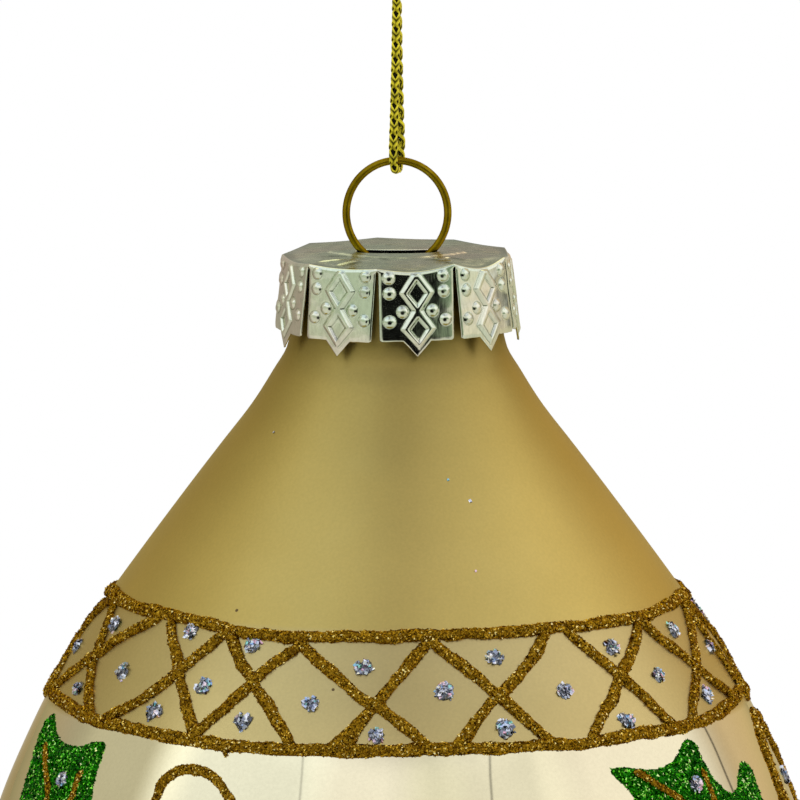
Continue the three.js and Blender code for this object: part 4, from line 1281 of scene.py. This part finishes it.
free_dots = [(89.2, 54.9), (-8, 73.5), (113, 74), (235, 73.5), (-8, 84), (113, 84), (235, 84), (-8, 105.5), (113, 105.5), (235, 105.5)]
for by in (0, 121, 243):
    free_dots += [(-8 + by - 17, 93.5), (-8 + by + 17, 93.5), (-8 + by, 95.5), (52 + by, 88), (52 + by, 98)]
o = dots_piece("silver_dots_belly", free_dots, 33, 0.95)
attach(o, "ornament")
_on_body = on_body
on_body = lambda th, d, lift=0.0: _on_body(th, d, lift + 0.42)
o = dots_piece("silver_dots_leaves", leaf_dots, 34, 0.95)
on_body = _on_body
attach(o, "ornament")

# ------------------------------------------------------------ floor and light
me = bpy.data.meshes.new("floor")
F, Z = 60.0, -0.42
me.from_pydata([(-F, -F, Z), (F, -F, Z), (F, F, Z), (-F, F, Z)], [], [(0, 1, 2, 3)])
floor = bpy.data.objects.new("floor", me)
scene.collection.objects.link(floor)
fm = bpy.data.materials.new("pale_floor")
fm.use_nodes = True
nt = fm.node_tree
nt.nodes.clear()
out = nt.nodes.new("ShaderNodeOutputMaterial")
diff = nt.nodes.new("ShaderNodeBsdfDiffuse")
diff.inputs["Color"].default_value = (0.62, 0.61, 0.59, 1)
glow = nt.nodes.new("ShaderNodeEmission")
glow.inputs["Color"].default_value = (1, 1, 1, 1)
path_ = nt.nodes.new("ShaderNodeLightPath")
mixs = nt.nodes.new("ShaderNodeMixShader")
nt.links.new(path_.outputs["Is Camera Ray"], mixs.inputs[0])
nt.links.new(diff.outputs[0], mixs.inputs[1])
nt.links.new(glow.outputs[0], mixs.inputs[2])
clear = nt.nodes.new("ShaderNodeBsdfTransparent")
geo = nt.nodes.new("ShaderNodeNewGeometry")
mix2 = nt.nodes.new("ShaderNodeMixShader")
nt.links.new(geo.outputs["Backfacing"], mix2.inputs[0])
nt.links.new(mixs.outputs[0], mix2.inputs[1])
nt.links.new(clear.outputs[0], mix2.inputs[2])
nt.links.new(mix2.outputs[0], out.inputs["Surface"])
# warm and pale behind the ornament, cooler in front, and dark a little way off where the picture is taken from
pos = nt.nodes.new("ShaderNodeSeparateXYZ")
nt.links.new(geo.outputs["Position"], pos.inputs[0])
turn_ = math_node(nt, "MULTIPLY", math_node(nt, "ARCTAN2", pos.outputs["X"], math_node(nt, "MULTIPLY", pos.outputs["Y"], -1.0)), 180 / math.pi)
away = math_node(nt, "SQRT", math_node(nt, "ADD", math_node(nt, "POWER", pos.outputs["X"], 2.0), math_node(nt, "POWER", pos.outputs["Y"], 2.0)))


def eased(nt, x, a, b):
    r = nt.nodes.new("ShaderNodeMapRange")
    r.interpolation_type = "SMOOTHSTEP"
    nt.links.new(x, r.inputs["Value"])
    r.inputs["From Min"].default_value, r.inputs["From Max"].default_value = a, b
    return r.outputs["Result"]


front_ = math_node(nt, "SUBTRACT", 1.0, eased(nt, math_node(nt, "ABSOLUTE", turn_), 70, 110))
side_ = eased(nt, math_node(nt, "DIVIDE", pos.outputs["X"], away), -0.6, 0.6)
shade = mix_color(nt, side_, (0.49, 0.44, 0.39), (0.82, 0.75, 0.60))
shade = mix_color(nt, front_, shade, (0.86, 0.87, 0.82))
low_ = math_node(nt, "MULTIPLY", math_node(nt, "ARCTAN2", -0.3, away), 180 / math.pi)


def opening(nt, turn, rise):
    """How far a direction is from the middle of the dark opening that the camera looks through: 1 at its soft edge."""
    u = math_node(nt, "POWER", math_node(nt, "DIVIDE", math_node(nt, "SUBTRACT", turn, 10.0), 27.0), 2.0)
    v = math_node(nt, "POWER", math_node(nt, "DIVIDE", math_node(nt, "ADD", rise, 1.0), 20.0), 2.0)
    return math_node(nt, "SUBTRACT", 1.0, eased(nt, math_node(nt, "SQRT", math_node(nt, "ADD", u, v)), 0.56, 1.15))


card = opening(nt, turn_, low_)
nt.links.new(mix_color(nt, card, shade, (0.004, 0.004, 0.004)), diff.inputs["Color"])
me.materials.append(fm)

world = bpy.data.worlds.new("studio")
scene.world = world
world.use_nodes = True
nt = world.node_tree
nt.nodes.clear()
out = nt.nodes.new("ShaderNodeOutputWorld")
white = nt.nodes.new("ShaderNodeBackground")
white.inputs["Color"].default_value = (1, 1, 1, 1)
light = nt.nodes.new("ShaderNodeBackground")
path_ = nt.nodes.new("ShaderNodeLightPath")
mixs = nt.nodes.new("ShaderNodeMixShader")
nt.links.new(path_.outputs["Is Camera Ray"], mixs.inputs[0])
nt.links.new(light.outputs[0], mixs.inputs[1])
nt.links.new(white.outputs[0], mixs.inputs[2])
nt.links.new(mixs.outputs[0], out.inputs["Surface"])
tc = nt.nodes.new("ShaderNodeTexCoord")
sp = nt.nodes.new("ShaderNodeSeparateXYZ")
nt.links.new(tc.outputs["Generated"], sp.inputs[0])
az = math_node(nt, "MULTIPLY", math_node(nt, "ARCTAN2", sp.outputs["X"], math_node(nt, "MULTIPLY", sp.outputs["Y"], -1.0)), 180 / math.pi)
el = math_node(nt, "MULTIPLY", math_node(nt, "ARCSINE", sp.outputs["Z"]), 180 / math.pi)


def soft_box(c_az, w_az, s_az, lo, hi, s_el, color, lean=0.0):
    """A soft-edged bright patch of the studio, by direction in degrees. Its azimuth wraps; lean is degrees per degree up."""
    at = math_node(nt, "ADD", math_node(nt, "MULTIPLY", el, float(lean)), float(c_az))
    off = math_node(nt, "WRAP", math_node(nt, "SUBTRACT", az, at), 180.0, -180.0)
    off = math_node(nt, "ABSOLUTE", off)

    def smooth(x, a, b):
        r = nt.nodes.new("ShaderNodeMapRange")
        r.interpolation_type = "SMOOTHSTEP"
        nt.links.new(x, r.inputs["Value"])
        r.inputs["From Min"].default_value, r.inputs["From Max"].default_value = a, b
        return r.outputs["Result"]

    f = math_node(nt, "SUBTRACT", 1.0, smooth(off, w_az - s_az, w_az + s_az))
    g = smooth(el, lo - s_el, lo + s_el)
    h = math_node(nt, "SUBTRACT", 1.0, smooth(el, hi - s_el, hi + s_el))
    f = math_node(nt, "MULTIPLY", math_node(nt, "MULTIPLY", f, g), h)
    return mix_color(nt, f, (0.0, 0.0, 0.0), color)


def plus(a, b):
    return mix_color(nt, 1.0, a, b, "ADD")


env = (0.006, 0.006, 0.006)
boxes = [
    # cloth panels across the front, and the sides
    (-57, 30, 8, 19, 46, 6, (0.97, 1.01, 1.04)), (-12, 16, 9, 20, 46, 6, (1.03, 1.02, 1.04)),
    (14, 10, 8, 20, 46, 6, (0.85, 0.85, 0.79)), (42, 18, 9, 19, 46, 6, (0.91, 0.90, 0.87)),
    (-106, 24, 12, 0, 46, 8, (0.57, 0.55, 0.45)), (90, 31, 12, 6, 46, 8, (1.09, 1.05, 1.04)),
    (-152, 20, 10, 0, 46, 8, (0.47, 0.42, 0.36)), (146, 22, 12, 0, 46, 8, (0.71, 0.57, 0.42)), (180, 14, 9, 0, 46, 8, (0.215, 0.218, 0.182)),
    # overhead
    (-68, 50, 14, 46, 76, 8, (0.78, 0.85, 0.99)), (0, 18, 14, 46, 76, 8, (0.385, 0.38, 0.42)),
    (68, 50, 14, 46, 76, 8, (0.79, 0.81, 0.91)), (180, 62, 14, 46, 76, 8, (1.40, 1.28, 0.85)),
    (0, 200, 5, 76, 100, 6, (0.25, 0.26, 0.30)),
    # low down, what the cap's petals face
    (-44, 40, 12, -14, 18, 5, (0.55, 0.58, 0.46)), (32, 30, 12, -14, 18, 5, (0.26, 0.32, 0.22)),
    (84, 24, 10, -14, 5, 5, (0.79, 0.69, 0.54)), (180, 44, 16, -14, 4, 5, (0.15, 0.16, 0.13)),
]
for bx in boxes:
    env = plus(env, soft_box(*bx))
# seams between the panels
SEAMS = ((-17.5, 0.40, 0.40, -0.43), (11.5, 0.45, 0.60, 0.57), (124.5, 0.50, 0.75, 0.0))
for at_az, half_az, deep, lean in SEAMS:
    line = soft_box(at_az, half_az, 0.25, 6, 60, 5, (deep, deep, deep), lean)
    env = mix_color(nt, 1.0, env, mix_color(nt, 1.0, (1.0, 1.0, 1.0), line, "SUBTRACT"), "MULTIPLY")
env = mix_color(nt, opening(nt, az, el), env, (0.004, 0.004, 0.004))
nt.links.new(env, light.inputs["Color"])
world.cycles.sampling_method = "MANUAL"
world.cycles.sample_map_resolution = 1024

scene.view_settings.view_transform = "Standard"
scene.view_settings.look = "None"
scene.view_settings.exposure = 0
scene.view_settings.gamma = 1
